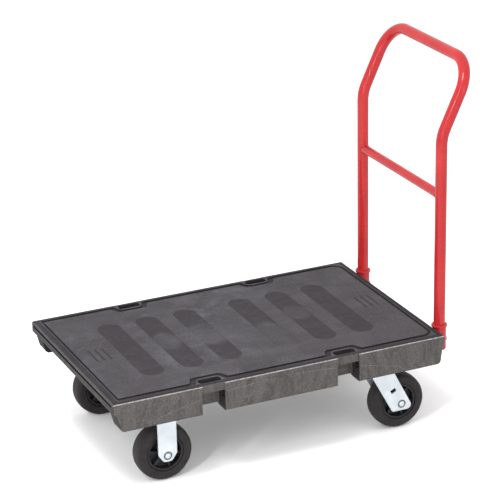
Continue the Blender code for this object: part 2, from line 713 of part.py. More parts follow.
def hub_mesh(shop):
    rim = TYRE_INNER_RADIUS - GAP
    inside = rim - HUB_RIM_THICKNESS
    profile = [(HUB_BORE, -HUB_BOSS_HALF), (HUB_BOSS_RADIUS, -HUB_BOSS_HALF),
               (HUB_BOSS_RADIUS, -HUB_WEB_HALF), (inside, -HUB_WEB_HALF), (inside, -HUB_RIM_HALF),
               (rim, -HUB_RIM_HALF)]
    profile += [(r, -z) for r, z in reversed(profile)]
    disc = turned_mesh("hub_disc", profile, WHEEL_STEPS, axis="Y")
    bm = bmesh.new()
    for k in range(HUB_SPOKES):
        angle = 2 * math.pi * k / HUB_SPOKES + math.pi / HUB_SPOKES
        low, high = HUB_BOSS_RADIUS - OVERLAP, inside + OVERLAP
        place = Matrix.Rotation(angle, 4, "Y") @ Matrix.Translation(((low + high) / 2, 0, 0))
        place = place @ Matrix.Diagonal((high - low, 2 * SPOKE_HALF, SPOKE_WIDTH, 1))
        bmesh.ops.create_cube(bm, size=1, matrix=place)
    return shop.combine("wheel_hub", disc, [("UNION", mesh_from(bm, "hub_spokes"))])


def axle_bolt_mesh():
    """Axle along Y with its round head outward, toward +Y."""
    face, tail = FORK_OUTER - DIMPLE_DEPTH + GAP, -FORK_OUTER - AXLE_TAIL
    profile = [(0, face + AXLE_HEAD_HEIGHT), (AXLE_HEAD_EDGE_RADIUS, face + AXLE_HEAD_EDGE),
               (AXLE_HEAD_RADIUS, face), (AXLE_RADIUS, face), (AXLE_RADIUS, tail), (0, tail)]
    return turned_mesh("axle_bolt", [(r, -y) for r, y in profile], FINE_SIDES, axis="Y")


def axle_nut_mesh(shop):
    near, far = -FORK_OUTER - GAP, -FORK_OUTER - GAP - NUT_THICKNESS
    body = rod_mesh("axle_nut", [((0, near, 0), (0, far, 0))], NUT_RADIUS, 6)
    hole = rod_mesh("nut_hole", [((0, near + PAST, 0), (0, far - PAST, 0))], AXLE_HOLE_RADIUS, FINE_SIDES)
    return shop.combine("axle_nut", body, [("DIFFERENCE", hole)])


def bushing_mesh():
    half = FORK_GAP_HALF - GAP
    profile = [(AXLE_HOLE_RADIUS, -half), (BUSHING_RADIUS, -half), (BUSHING_RADIUS, half),
               (AXLE_HOLE_RADIUS, half)]
    return turned_mesh("axle_bushing", profile, FINE_SIDES, axis="Y")


# ---------------------------------------------------------------- forks
def fixed_leg_outline():
    """Seen along Y with the axle at the origin."""
    half = FIXED_LEG_WIDTH / 2
    top = CASTOR_TOP - WHEEL_RADIUS - PLATE_THICKNESS / 2
    edge = [(FIXED_TIP_HALF, -FIXED_LEG_TIP, FIXED_TIP_RADIUS, 4),
            (half, FIXED_LEG_SHOULDER, FIXED_SHOULDER_RADIUS, 3), (half, top, 0, 0)]
    return rounded([(-x, z, radius, steps) for x, z, radius, steps in reversed(edge)] + edge)


def swivel_leg_outline():
    """Seen along Y with the axle at the origin. The leg leans back from the swivel axis down to the axle."""
    top, front = CROWN_TOP - CROWN_THICKNESS / 2 - WHEEL_RADIUS, SWIVEL_LEG_FRONT
    high_front = front - math.tan(SWIVEL_LEG_SLANT) * (top + SWIVEL_LEG_TIP)
    return rounded([(front - SWIVEL_LEG_LOW_WIDTH, -SWIVEL_LEG_TIP, SWIVEL_BACK_RADIUS, 3),
                    (front, -SWIVEL_LEG_TIP, SWIVEL_FRONT_RADIUS, 4), (high_front, top, 0, 0),
                    (high_front - SWIVEL_LEG_WIDTH, top, 0, 0)])


def leg_meshes(outline):
    walls = ((FORK_GAP_HALF, FORK_OUTER), (-FORK_OUTER, -FORK_GAP_HALF))
    return [plate_mesh("fork_leg", [outline], low, high, upright=True) for low, high in walls]


def axle_cuts():
    ends = ((0, -FORK_OUTER - PAST, 0), (0, FORK_OUTER + PAST, 0))
    hole = rod_mesh("axle_hole", [ends], AXLE_HOLE_RADIUS, FINE_SIDES)
    dimple = rod_mesh("axle_dimple", [((0, FORK_OUTER - DIMPLE_DEPTH, 0), (0, FORK_OUTER + PAST, 0))],
                      DIMPLE_RADIUS, 16)
    return [("DIFFERENCE", hole), ("DIFFERENCE", dimple)]


def castor_plate(name, top):
    """The plate that is bolted under the deck, and the cutter for its bolt holes."""
    half_x, half_y = PLATE_LENGTH / 2, PLATE_WIDTH / 2
    outline = rectangle(-half_x, half_x, -half_y, half_y, PLATE_CORNER, 3)
    plate = plate_mesh(name, [outline], top - PLATE_THICKNESS, top)
    holes = [((dx, dy, top - PLATE_THICKNESS - PAST), (dx, dy, top + PAST))
             for dx in (-BOLT_HALF_X, BOLT_HALF_X) for dy in (-BOLT_HALF_Y, BOLT_HALF_Y)]
    return plate, rod_mesh("plate_holes", holes, BOLT_HOLE_RADIUS, BOLT_SIDES)


def fixed_fork_mesh(shop):
    """A fork whose top is the mounting plate. The axle is at the origin."""
    plate, holes = castor_plate("fixed_fork", CASTOR_TOP - WHEEL_RADIUS)
    steps = [("UNION", leg) for leg in leg_meshes(fixed_leg_outline())]
    return shop.combine("fixed_fork", plate, steps + [("DIFFERENCE", holes)] + axle_cuts())


def swivel_fork_mesh(shop):
    """Crown and two slanted legs. The axle is at the origin and the swivel axis at -SWIVEL_TRAIL."""
    low, high = CROWN_TOP - CROWN_THICKNESS - WHEEL_RADIUS, CROWN_TOP - WHEEL_RADIUS
    outline = rectangle(-SWIVEL_TRAIL - CROWN_RADIUS, -SWIVEL_TRAIL + CROWN_RADIUS, -FORK_OUTER, FORK_OUTER,
                        CROWN_CORNER, 2)
    crown = plate_mesh("swivel_fork", [outline], low, high)
    pin = rod_mesh("kingpin_hole", [((-SWIVEL_TRAIL, 0, low - PAST), (-SWIVEL_TRAIL, 0, high + PAST))],
                   KINGPIN_HOLE_RADIUS, FINE_SIDES)
    steps = [("UNION", leg) for leg in leg_meshes(swivel_leg_outline())] + [("DIFFERENCE", pin)]
    lean = math.tan(SWIVEL_LEG_SLANT) * (FORK_WINDOW_LIFT + SWIVEL_LEG_TIP)
    middle = Vector((SWIVEL_LEG_FRONT - SWIVEL_LEG_WIDTH / 2 - lean + FORK_WINDOW_SHIFT, FORK_WINDOW_LIFT))
    turn = Matrix.Rotation(SWIVEL_LEG_SLANT, 2)
    window = [middle + turn @ corner
              for corner in rectangle(-FORK_WINDOW_HALF_LENGTH, FORK_WINDOW_HALF_LENGTH,
                                      -FORK_WINDOW_HALF_HEIGHT, FORK_WINDOW_HALF_HEIGHT)]
    cut = plate_mesh("fork_window", [window], -FORK_OUTER - PAST, FORK_OUTER + PAST, upright=True)
    return shop.combine("swivel_fork", crown, steps + [("DIFFERENCE", cut)] + axle_cuts())


def top_plate_mesh(shop):
    """Swivel castor plate with its bolt holes and kingpin hole. The swivel axis is at the origin."""
    plate, holes = castor_plate("swivel_plate", CASTOR_TOP)
    ends = ((0, 0, CASTOR_TOP - PLATE_THICKNESS - PAST), (0, 0, CASTOR_TOP + PAST))
    pin = rod_mesh("pin_hole", [ends], KINGPIN_HOLE_RADIUS, FINE_SIDES)
    return shop.combine("swivel_plate", plate, [("DIFFERENCE", holes), ("DIFFERENCE", pin)])


def ball_race_mesh():
    """The ball race between plate and crown, waisted where the two cups meet."""
    low, high = CROWN_TOP + GAP, CASTOR_TOP - PLATE_THICKNESS - GAP
    middle = (low + high) / 2
    profile = [(RACE_INNER, low), (RACE_RADIUS, low), (RACE_RADIUS - RACE_WAIST, middle),
               (RACE_RADIUS + RACE_LIP, middle + RACE_STEP), (RACE_RADIUS + RACE_LIP, high),
               (RACE_INNER, high)]
    return turned_mesh("ball_race", profile, RACE_SIDES)


def kingpin_mesh():
    """Kingpin through the plate, the race and the crown, in one piece with its nut below."""
    top, crown_low = CASTOR_TOP - KINGPIN_RECESS, CROWN_TOP - CROWN_THICKNESS
    thread, nut_low = KINGPIN_RADIUS - KINGPIN_THREAD, crown_low - KINGPIN_NUT_HEIGHT
    profile = [(0, top), (KINGPIN_RADIUS, top), (KINGPIN_RADIUS, crown_low - GAP),
               (KINGPIN_NUT_RADIUS, crown_low - GAP), (KINGPIN_NUT_RADIUS, nut_low), (thread, nut_low),
               (thread, crown_low - KINGPIN_TAIL), (0, crown_low - KINGPIN_TAIL)]
    return turned_mesh("kingpin", profile, FINE_SIDES)


def make_wheel(shop, owner, parent, turn, meshes, materials):
    """Axle pieces and wheel round one axle empty. turn is 1 with the bolt head toward +Y, or -1."""
    axle = shop.empty(f"axle_{owner}", parent[0], parent[1])
    pieces = (("tyre", "tyre", "rubber"), ("hub", "hub", "hub"), ("axle_bushing", "bushing", "steel"),
              ("axle_bolt", "axle_bolt", "zinc"), ("axle_nut", "axle_nut", "zinc"))
    for name, mesh, material in pieces:
        piece = shop.part(f"{name}_{owner}", meshes[mesh], materials[material], axle)
        if turn < 0 and name.startswith("axle"):
            piece.rotation_euler = (math.pi, 0, 0)
    return axle


def make_castors(shop, truck, materials):
    meshes = {
        "tyre": turned_mesh("tyre", tyre_profile(), WHEEL_STEPS, axis="Y"), "hub": hub_mesh(shop),
        "bushing": bushing_mesh(), "axle_bolt": axle_bolt_mesh(), "axle_nut": axle_nut_mesh(shop),
    }
    fixed, swivel = fixed_fork_mesh(shop), swivel_fork_mesh(shop)
    plate, race, kingpin = top_plate_mesh(shop), ball_race_mesh(), kingpin_mesh()
    for side, sign in SIDES.items():
        owner = f"fixed_{side}"
        place = (-CASTOR_X, sign * CASTOR_Y, WHEEL_RADIUS)
        axle = make_wheel(shop, owner, (truck, place), sign, meshes, materials)
        fork = shop.part(f"fork_{owner}", fixed, materials["zinc"], axle)
        fork.rotation_euler = (0, 0, 0 if sign > 0 else math.pi)

        owner = f"swivel_{side}"
        pivot = shop.empty(f"pivot_{owner}", truck, (CASTOR_X, sign * CASTOR_Y, 0))
        shop.part(f"top_plate_{owner}", plate, materials["zinc"], pivot)
        shop.part(f"ball_race_{owner}", race, materials["zinc"], pivot)
        shop.part(f"kingpin_{owner}", kingpin, materials["zinc"], pivot)
        axle = make_wheel(shop, owner, (pivot, (SWIVEL_TRAIL, 0, WHEEL_RADIUS)), sign, meshes, materials)
        mesh = swivel if sign > 0 else mirrored_mesh(swivel)
        shop.part(f"fork_{owner}", mesh, materials["zinc"], axle)


def mirrored_mesh(mesh):
    """A copy of a mesh mirrored in Y, so that its dimple faces the other side."""
    bm = bmesh.new()
    bm.from_mesh(mesh)
    bmesh.ops.scale(bm, verts=bm.verts, vec=(1, -1, 1))
    bmesh.ops.reverse_faces(bm, faces=bm.faces)
    return mesh_from(bm, mesh.name + "_mirrored")


# ---------------------------------------------------------------- handle
def arc_path(corners):
    """Points along a line with rounded corners. Each corner is (point, radius, steps)."""
    points = []
    for index, (here, radius, steps) in enumerate(corners):
        here = Vector(here)
        if radius == 0:
            points.append(here)
            continue
        before = (Vector(corners[index - 1][0]) - here).normalized()
        after = (Vector(corners[index + 1][0]) - here).normalized()
        half = before.angle(after) / 2
        centre = here + (before + after).normalized() * radius / math.sin(half)
        start = here + before * radius / math.tan(half) - centre
        axis = before.cross(after)
        for step in range(steps + 1):
            spin = Matrix.Rotation(-(math.pi - 2 * half) * step / steps, 3, axis)
            points.append(centre + spin @ start)
    return points


def handle_path():
    side = [((HANDLE_X, HANDLE_Y, HANDLE_FOOT), 0, 0), ((HANDLE_X, HANDLE_Y, HANDLE_KNEE), KNEE_RADIUS, 3),
            ((HANDLE_TOP_X, HANDLE_Y, HANDLE_TOP), CORNER_RADIUS, 6)]
    other = [((x, -y, z), radius, steps) for (x, y, z), radius, steps in reversed(side)]
    return arc_path(side + other)


def tube_object(shop, name, points, radius, material, parent):
    """A hollow bent tube: an open swept surface thickened inward."""
    curve = bpy.data.curves.new(name, "CURVE")
    curve.dimensions = "3D"
    curve.bevel_depth = radius
    curve.bevel_resolution = TUBE_SIDES_RESOLUTION
    spline = curve.splines.new("POLY")
    spline.points.add(len(points) - 1)
    for point, place in zip(spline.points, points):
        point.co = (*place, 1)
    holder = bpy.data.objects.new(name, curve)
    bpy.context.scene.collection.objects.link(holder)
    graph = bpy.context.evaluated_depsgraph_get()
    mesh = bpy.data.meshes.new_from_object(holder.evaluated_get(graph))
    bpy.data.objects.remove(holder)
    tube = shop.part(name, mesh, material, parent)
    wall = tube.modifiers.new("wall", "SOLIDIFY")
    wall.thickness = TUBE_WALL
    wall.offset = -1
    return tube


def socket_mesh(shop):
    """Socket for one handle leg, with a tongue that bolts under the deck. The tube axis is at the origin."""
    bore = TUBE_RADIUS + GAP
    floor, collar = SOCKET_BOTTOM + SOCKET_FLOOR, SOCKET_TOP - COLLAR_HEIGHT
    profile = [(SOCKET_DRAIN, SOCKET_BOTTOM), (SOCKET_RADIUS - SOCKET_EDGE, SOCKET_BOTTOM),
               (SOCKET_RADIUS, SOCKET_BOTTOM + SOCKET_EDGE), (SOCKET_RADIUS, collar - COLLAR_STEP),
               (SOCKET_COLLAR_RADIUS, collar), (SOCKET_COLLAR_RADIUS, SOCKET_TOP), (bore, SOCKET_TOP),
               (bore, floor), (SOCKET_DRAIN, floor)]
    ring = turned_mesh("handle_socket", profile, SOCKET_SIDES)
    tongue_top = DECK_UNDERSIDE - GAP
    outline = rectangle(TONGUE_INNER - HANDLE_X, -TUBE_RADIUS, -TONGUE_HALF_WIDTH, TONGUE_HALF_WIDTH,
                        TONGUE_CORNER, 2)
    tongue = plate_mesh("tongue", [outline], tongue_top - TONGUE_THICKNESS, tongue_top)
    clear = rod_mesh("socket_bore", [((0, 0, floor), (0, 0, SOCKET_TOP + PAST))], bore, SOCKET_SIDES)
    holes = [((x - HANDLE_X, 0, tongue_top - PAST), (x - HANDLE_X, 0, tongue_top + PAST))
             for x in TONGUE_BOLT_XS]
    cross = [((-HANDLE_X, 0, RETAINER_HEIGHT), (HANDLE_X, 0, RETAINER_HEIGHT))]
    return shop.combine("handle_socket", ring, [
        ("UNION", tongue), ("DIFFERENCE", clear),
        ("DIFFERENCE", rod_mesh("tongue_holes", holes, BOLT_HOLE_RADIUS, BOLT_SIDES)),
        ("DIFFERENCE", rod_mesh("retainer_hole", cross, RETAINER_RADIUS + GAP, BOLT_SIDES))])


def retainer_mesh():
    """The screw that holds a handle leg in its socket, its head toward +Z."""
    seat = SOCKET_RADIUS + GAP
    head = [(radius, seat + height) for radius, height in reversed(RETAINER_HEAD)]
    return turned_mesh("handle_retainer", [
        *head, (RETAINER_RADIUS, seat), (RETAINER_RADIUS, -SOCKET_RADIUS), (0, -SOCKET_RADIUS)], BOLT_SIDES)


def make_handle(shop, truck, materials):
    tube = tube_object(shop, "handle_tube", handle_path(), TUBE_RADIUS, materials["red"], truck)
    reach = TUBE_RADIUS + PAST
    rods = [((HANDLE_X - reach, y, RETAINER_HEIGHT), (HANDLE_X + reach, y, RETAINER_HEIGHT))
            for y in (HANDLE_Y, -HANDLE_Y)]
    holes = rod_mesh("retainer_hole_cutter", rods, RETAINER_RADIUS + GAP, BOLT_SIDES)
    add_boolean(tube, shop.cutter("retainer_hole_cutter", holes, truck))

    inner = CROSSBAR_RADIUS - TUBE_WALL
    end = HANDLE_Y - TUBE_RADIUS / 2
    profile = [(inner, -end), (CROSSBAR_RADIUS, -end), (CROSSBAR_RADIUS, end), (inner, end)]
    bar = turned_mesh("handle_crossbar", profile, SOCKET_SIDES, axis="Y")
    cope = rod_mesh("cope", [((0, y, -reach), (0, y, reach)) for y in (HANDLE_Y, -HANDLE_Y)],
                    TUBE_RADIUS + 2 * GAP, COPE_SIDES)
    bar = shop.combine("handle_crossbar", bar, [("DIFFERENCE", cope)])
    shop.part("handle_crossbar", bar, materials["red"], truck, (HANDLE_X, 0, CROSSBAR_HEIGHT))

    socket = socket_mesh(shop)
    retainer = retainer_mesh()
    tongue_bolt = hex_bolt_mesh(shop, "socket_bolt", TONGUE_BOLT_REACH, TONGUE_BOLT_HEAD_RADIUS,
                                TONGUE_BOLT_HEAD_HEIGHT)
    under = DECK_UNDERSIDE - GAP - TONGUE_THICKNESS - GAP
    for side, sign in SIDES.items():
        y = sign * HANDLE_Y
        shop.part(f"handle_socket_{side}", socket, materials["red"], truck, (HANDLE_X, y, 0))
        pin = shop.part(f"handle_retainer_{side}", retainer, materials["zinc"], truck,
                        (HANDLE_X, y, RETAINER_HEIGHT))
        pin.rotation_euler = (0, math.pi / 2, 0)
        for name, x in zip(("inner", "outer"), TONGUE_BOLT_XS):
            shop.part(f"socket_bolt_{side}_{name}", tongue_bolt, materials["zinc"], truck, (x, y, under))


def main():
    clear_scene()
    shop = Workshop()
    materials = {
        "resin": new_material("deck_resin", (0.098, 0.089, 0.092), 0.60),
        "red": new_material("red_paint", (0.68, 0.030, 0.030), 0.25),
        "zinc": new_material("zinc_plate", (0.78, 0.81, 0.84), 0.32, 1.0),
        "steel": new_material("bare_steel", (0.42, 0.42, 0.43), 0.40, 1.0),
        "rubber": new_material("tyre_rubber", (0.048, 0.045, 0.047), 0.70),
        "hub": new_material("hub_paint", (0.012, 0.012, 0.013), 0.45),
    }
    truck = shop.empty("truck", place=(TRUCK_SHIFT, 0, 0))
    make_deck(shop, truck, materials["resin"])
    make_handle(shop, truck, materials)
    make_castors(shop, truck, materials)
    make_castor_bolts(shop, truck, materials["zinc"])


main()
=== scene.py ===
"""Looks of the flatbed platform truck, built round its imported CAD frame. Metres, +Z up, +X to the handle."""
import math

import bmesh
import bpy
from mathutils import Matrix, Vector


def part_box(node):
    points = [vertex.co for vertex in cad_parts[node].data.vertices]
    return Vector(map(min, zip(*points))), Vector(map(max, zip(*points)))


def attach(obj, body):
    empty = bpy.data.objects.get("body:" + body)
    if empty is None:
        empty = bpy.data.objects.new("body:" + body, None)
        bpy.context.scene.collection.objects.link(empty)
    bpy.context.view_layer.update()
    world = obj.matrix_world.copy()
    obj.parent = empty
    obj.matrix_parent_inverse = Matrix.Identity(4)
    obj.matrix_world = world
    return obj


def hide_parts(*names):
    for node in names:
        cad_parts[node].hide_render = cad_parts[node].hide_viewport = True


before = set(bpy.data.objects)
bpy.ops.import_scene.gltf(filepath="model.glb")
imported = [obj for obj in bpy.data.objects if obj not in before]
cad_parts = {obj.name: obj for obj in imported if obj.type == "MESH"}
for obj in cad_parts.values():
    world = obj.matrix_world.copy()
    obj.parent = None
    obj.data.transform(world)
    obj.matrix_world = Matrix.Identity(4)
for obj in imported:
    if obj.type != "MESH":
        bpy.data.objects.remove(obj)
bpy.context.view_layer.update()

# ---------------------------------------------------------------- measures
DECK_LOW, DECK_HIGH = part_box("deck")
DECK_X = (DECK_LOW.x + DECK_HIGH.x) / 2          # the deck's own middle in the row frame
DECK_LENGTH = DECK_HIGH.x - DECK_LOW.x
DECK_WIDTH = DECK_HIGH.y - DECK_LOW.y
HALF_LENGTH, HALF_WIDTH = DECK_LENGTH / 2, DECK_WIDTH / 2
DECK_TOP = DECK_HIGH.z
DECK_UNDERSIDE = DECK_TOP - 0.0305
EDGE_RADIUS = 0.0038
RIM_WIDTH = 0.0172
RIM_FALL = 0.0025
SKIN_TOP = DECK_TOP - 0.0095
RIM_SKIN_TOP = DECK_TOP - 0.0115
PANEL_TAIL = -0.4525
PANEL_HANDLE = 0.4505
PANEL_HALF_WIDTH = 0.2745
GROOVE_TAIL = 0.006
GROOVE_HANDLE = 0.008
GROOVE_SIDE = 0.012
GROOVE_DEPTH = 0.004
SLOT_MIDDLE = -0.0065
SLOT_HALF_PITCH = 0.1945
SLOT_XS = (SLOT_MIDDLE - SLOT_HALF_PITCH, SLOT_MIDDLE + SLOT_HALF_PITCH)
SLOT_LENGTH = 0.062
SLOT_INNER = 0.264
SLOT_OUTER = 0.2885
SLOT_CORNER = 0.008
NOTCH_LENGTH = 0.063
NOTCH_DEPTH = 0.004
HALF_POCKET = 0.0322
POCKET_TOP = DECK_TOP - 0.0240
POCKET_BACK_BOTTOM = DECK_TOP - 0.0735
BULGE_BASE = 0.054
BULGE_TIP = 0.042
BULGE_REACH = 0.0285
BULGE_BASE_RADIUS, BULGE_TIP_RADIUS = 0.008, 0.014
PANEL_TAIL_RADIUS, PANEL_HANDLE_RADIUS = 0.004, 0.022
PAD_MIDDLE = -0.002
PAD_FIRST = 0.0834
PAD_PITCH = 0.1120
PAD_WIDTH = 0.066
PAD_HALF_LENGTH = 0.1835
PAD_DEPTH = 0.0006
BAR_MIDDLE = -0.0195
BAR_FIRST = 0.3985
BAR_PITCH = 0.019
BAR_WIDTH = 0.008
BAR_HALF_LENGTH = 0.040
RAIL_BOTTOM = DECK_TOP - 0.0825
RAIL_TOP = DECK_TOP - 0.0260
RAIL_INNER = 0.253
RAIL_WALL = 0.006                                 # walls and ribs under the deck
RAIL_WAIST = DECK_TOP - 0.0355                    # the ends lean in more below this height
TAIL_SETBACKS = (0.0015, 0.0085, 0.0205)          # from the deck's end, at the rail's top, waist and bottom
HANDLE_SETBACKS = (0.0020, 0.0050, 0.0115)
RAIL_EDGE_RADIUS = 0.0034
RAIL_HOLLOW_END = 0.440
WINDOW_BOTTOM = DECK_TOP - 0.0490
WINDOW_TOP = DECK_TOP - 0.0265
END_WALL = 0.016                                  # solid rim across each end of the slab
END_GROOVE_LOW = DECK_TOP - 0.0150
END_GROOVE_HIGH = DECK_TOP - 0.0080
END_GROOVE_DEPTH = 0.007
END_GROOVE_HALF = 0.290
RELIEF_HEIGHT = 0.0008
SLAB_SIDE = HALF_WIDTH - RELIEF_HEIGHT
TRIM = 0.0001                                     # cut off both sides, so that slab and rails end flush
MOUNT_LENGTH = 0.130
MOUNT_WIDTH = 0.108
PAST = 0.01
WELD_DISTANCE = 0.00001
SHARP_ANGLE = math.radians(35)

PLATE_LOW, PLATE_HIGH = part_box("top_plate_swivel_left")
CASTOR_TOP = PLATE_HIGH.z
CASTOR_Y = (PLATE_LOW.y + PLATE_HIGH.y) / 2
CASTOR_X = (PLATE_LOW.x + PLATE_HIGH.x) / 2 - DECK_X
MOUNT_NEAR, MOUNT_FAR = CASTOR_X - MOUNT_LENGTH / 2, CASTOR_X + MOUNT_LENGTH / 2
MOUNT_INNER, MOUNT_OUTER = CASTOR_Y - MOUNT_WIDTH / 2, CASTOR_Y + MOUNT_WIDTH / 2

GAP = 0.0003
WHEELS = ("fixed_left", "fixed_right", "swivel_left", "swivel_right")


# ---------------------------------------------------------------- node materials
class Surface:
    """A Principled material with a few shorthand calls for its node tree."""

    def __init__(self, name, **uniform):
        self.material = bpy.data.materials.new(name)
        self.material.use_nodes = True
        self.tree = self.material.node_tree
        self.shader = self.tree.nodes["Principled BSDF"]
        for socket, value in uniform.items():
            self.shader.inputs[socket.replace("_", " ")].default_value = value
        self.coords = self.tree.nodes.new("ShaderNodeTexCoord")
        self.place = self.coords.outputs["Object"]

    def node(self, kind, inputs=(), **settings):
        made = self.tree.nodes.new(kind)
        for name, value in settings.items():
            setattr(made, name, value)
        for key, value in dict(inputs).items():
            if isinstance(value, bpy.types.NodeSocket):
                self.tree.links.new(value, made.inputs[key])
            else:
                made.inputs[key].default_value = value
        return made

    def stretched(self, scale, turn=(0, 0, 0), place=None):
        inputs = {"Vector": place or self.place, "Scale": scale, "Rotation": turn}
        return self.node("ShaderNodeMapping", inputs).outputs["Vector"]

    def noise(self, scale, detail=4.0, roughness=0.55, warp=0.0, place=None):
        inputs = {"Vector": place or self.place, "Scale": scale, "Detail": detail, "Roughness": roughness,
                  "Distortion": warp}
        return self.node("ShaderNodeTexNoise", inputs).outputs["Fac"]

    def cell_colours(self, scale):
        return self.node("ShaderNodeTexVoronoi", {"Vector": self.place, "Scale": scale}).outputs["Color"]

    def math(self, operation, a, b=0.0):
        return self.node("ShaderNodeMath", {0: a, 1: b}, operation=operation).outputs["Value"]

    def times(self, a, b):
        return self.math("MULTIPLY", a, b)

    def size(self, a):
        return self.math("ABSOLUTE", a)

    def most(self, values):
        """The largest of several values."""
        total = values[0]
        for value in values[1:]:
            total = self.math("MAXIMUM", total, value)
        return total

    def step(self, value, low, high, to_low=0.0, to_high=1.0):
        """A smooth step from to_low to to_high as value goes from low to high."""
        ends = {"Value": value, "From Min": low, "From Max": high, "To Min": to_low, "To Max": to_high}
        return self.node("ShaderNodeMapRange", ends, interpolation_type="SMOOTHSTEP").outputs["Result"]

    def mix(self, share, a, b):
        made = self.node("ShaderNodeMix", data_type="RGBA")
        for index, value in ((0, share), (6, a), (7, b)):
            if isinstance(value, bpy.types.NodeSocket):
                self.tree.links.new(value, made.inputs[index])
            elif index:
                made.inputs[index].default_value = (*value, 1.0)
            else:
                made.inputs[index].default_value = value
        return made.outputs[2]

    def over(self, colour, tone, share, strength=None):
        """Lays a tone over a colour by a share, which strength scales."""
        return self.mix(share if strength is None else self.times(share, strength), colour, tone)

    def axes(self, place=None):
        made = self.node("ShaderNodeSeparateXYZ", {"Vector": place or self.place})
        return made.outputs["X"], made.outputs["Y"], made.outputs["Z"]

    def face_value(self, name):
        return self.node("ShaderNodeAttribute", attribute_name=name).outputs["Fac"]

    def bump(self, height, depth, strength=1.0, below=None):
        inputs = {"Height": height, "Distance": depth, "Strength": strength}
        if below is not None:
            inputs["Normal"] = below
        return self.node("ShaderNodeBump", inputs).outputs["Normal"]

    def finish(self, colour=None, roughness=None, normal=None):
        for name, socket in (("Base Color", colour), ("Roughness", roughness), ("Normal", normal)):
            if socket is not None:
                self.tree.links.new(socket, self.shader.inputs[name])
        return self.material


def scratches(s, turns, fineness=520.0, length=9.0, low=0.66, high=0.74):
    """Sparse fine lines in several directions, as a share from 0 to 1."""
    places = [s.stretched((length, fineness, fineness), (0, 0, turn)) for turn in turns]
    lines = [s.step(s.noise(1.0, 3.0, 0.6, place=place), low, high) for place in places]
    return s.times(s.most(lines), s.step(s.noise(14.0, 3.0), 0.45, 0.62))


def spot(s, x, y, middle, reach):
    """A soft round spot in plan, one in its middle and nothing past its reach."""
    across, along = (s.math("DIVIDE", s.math("SUBTRACT", value, here), wide)
                     for value, here, wide in zip((x, y), middle, reach))
    away = s.math("ADD", s.times(across, across), s.times(along, along))
    return s.step(away, 0.30, 1.0, 1.0, 0.0)


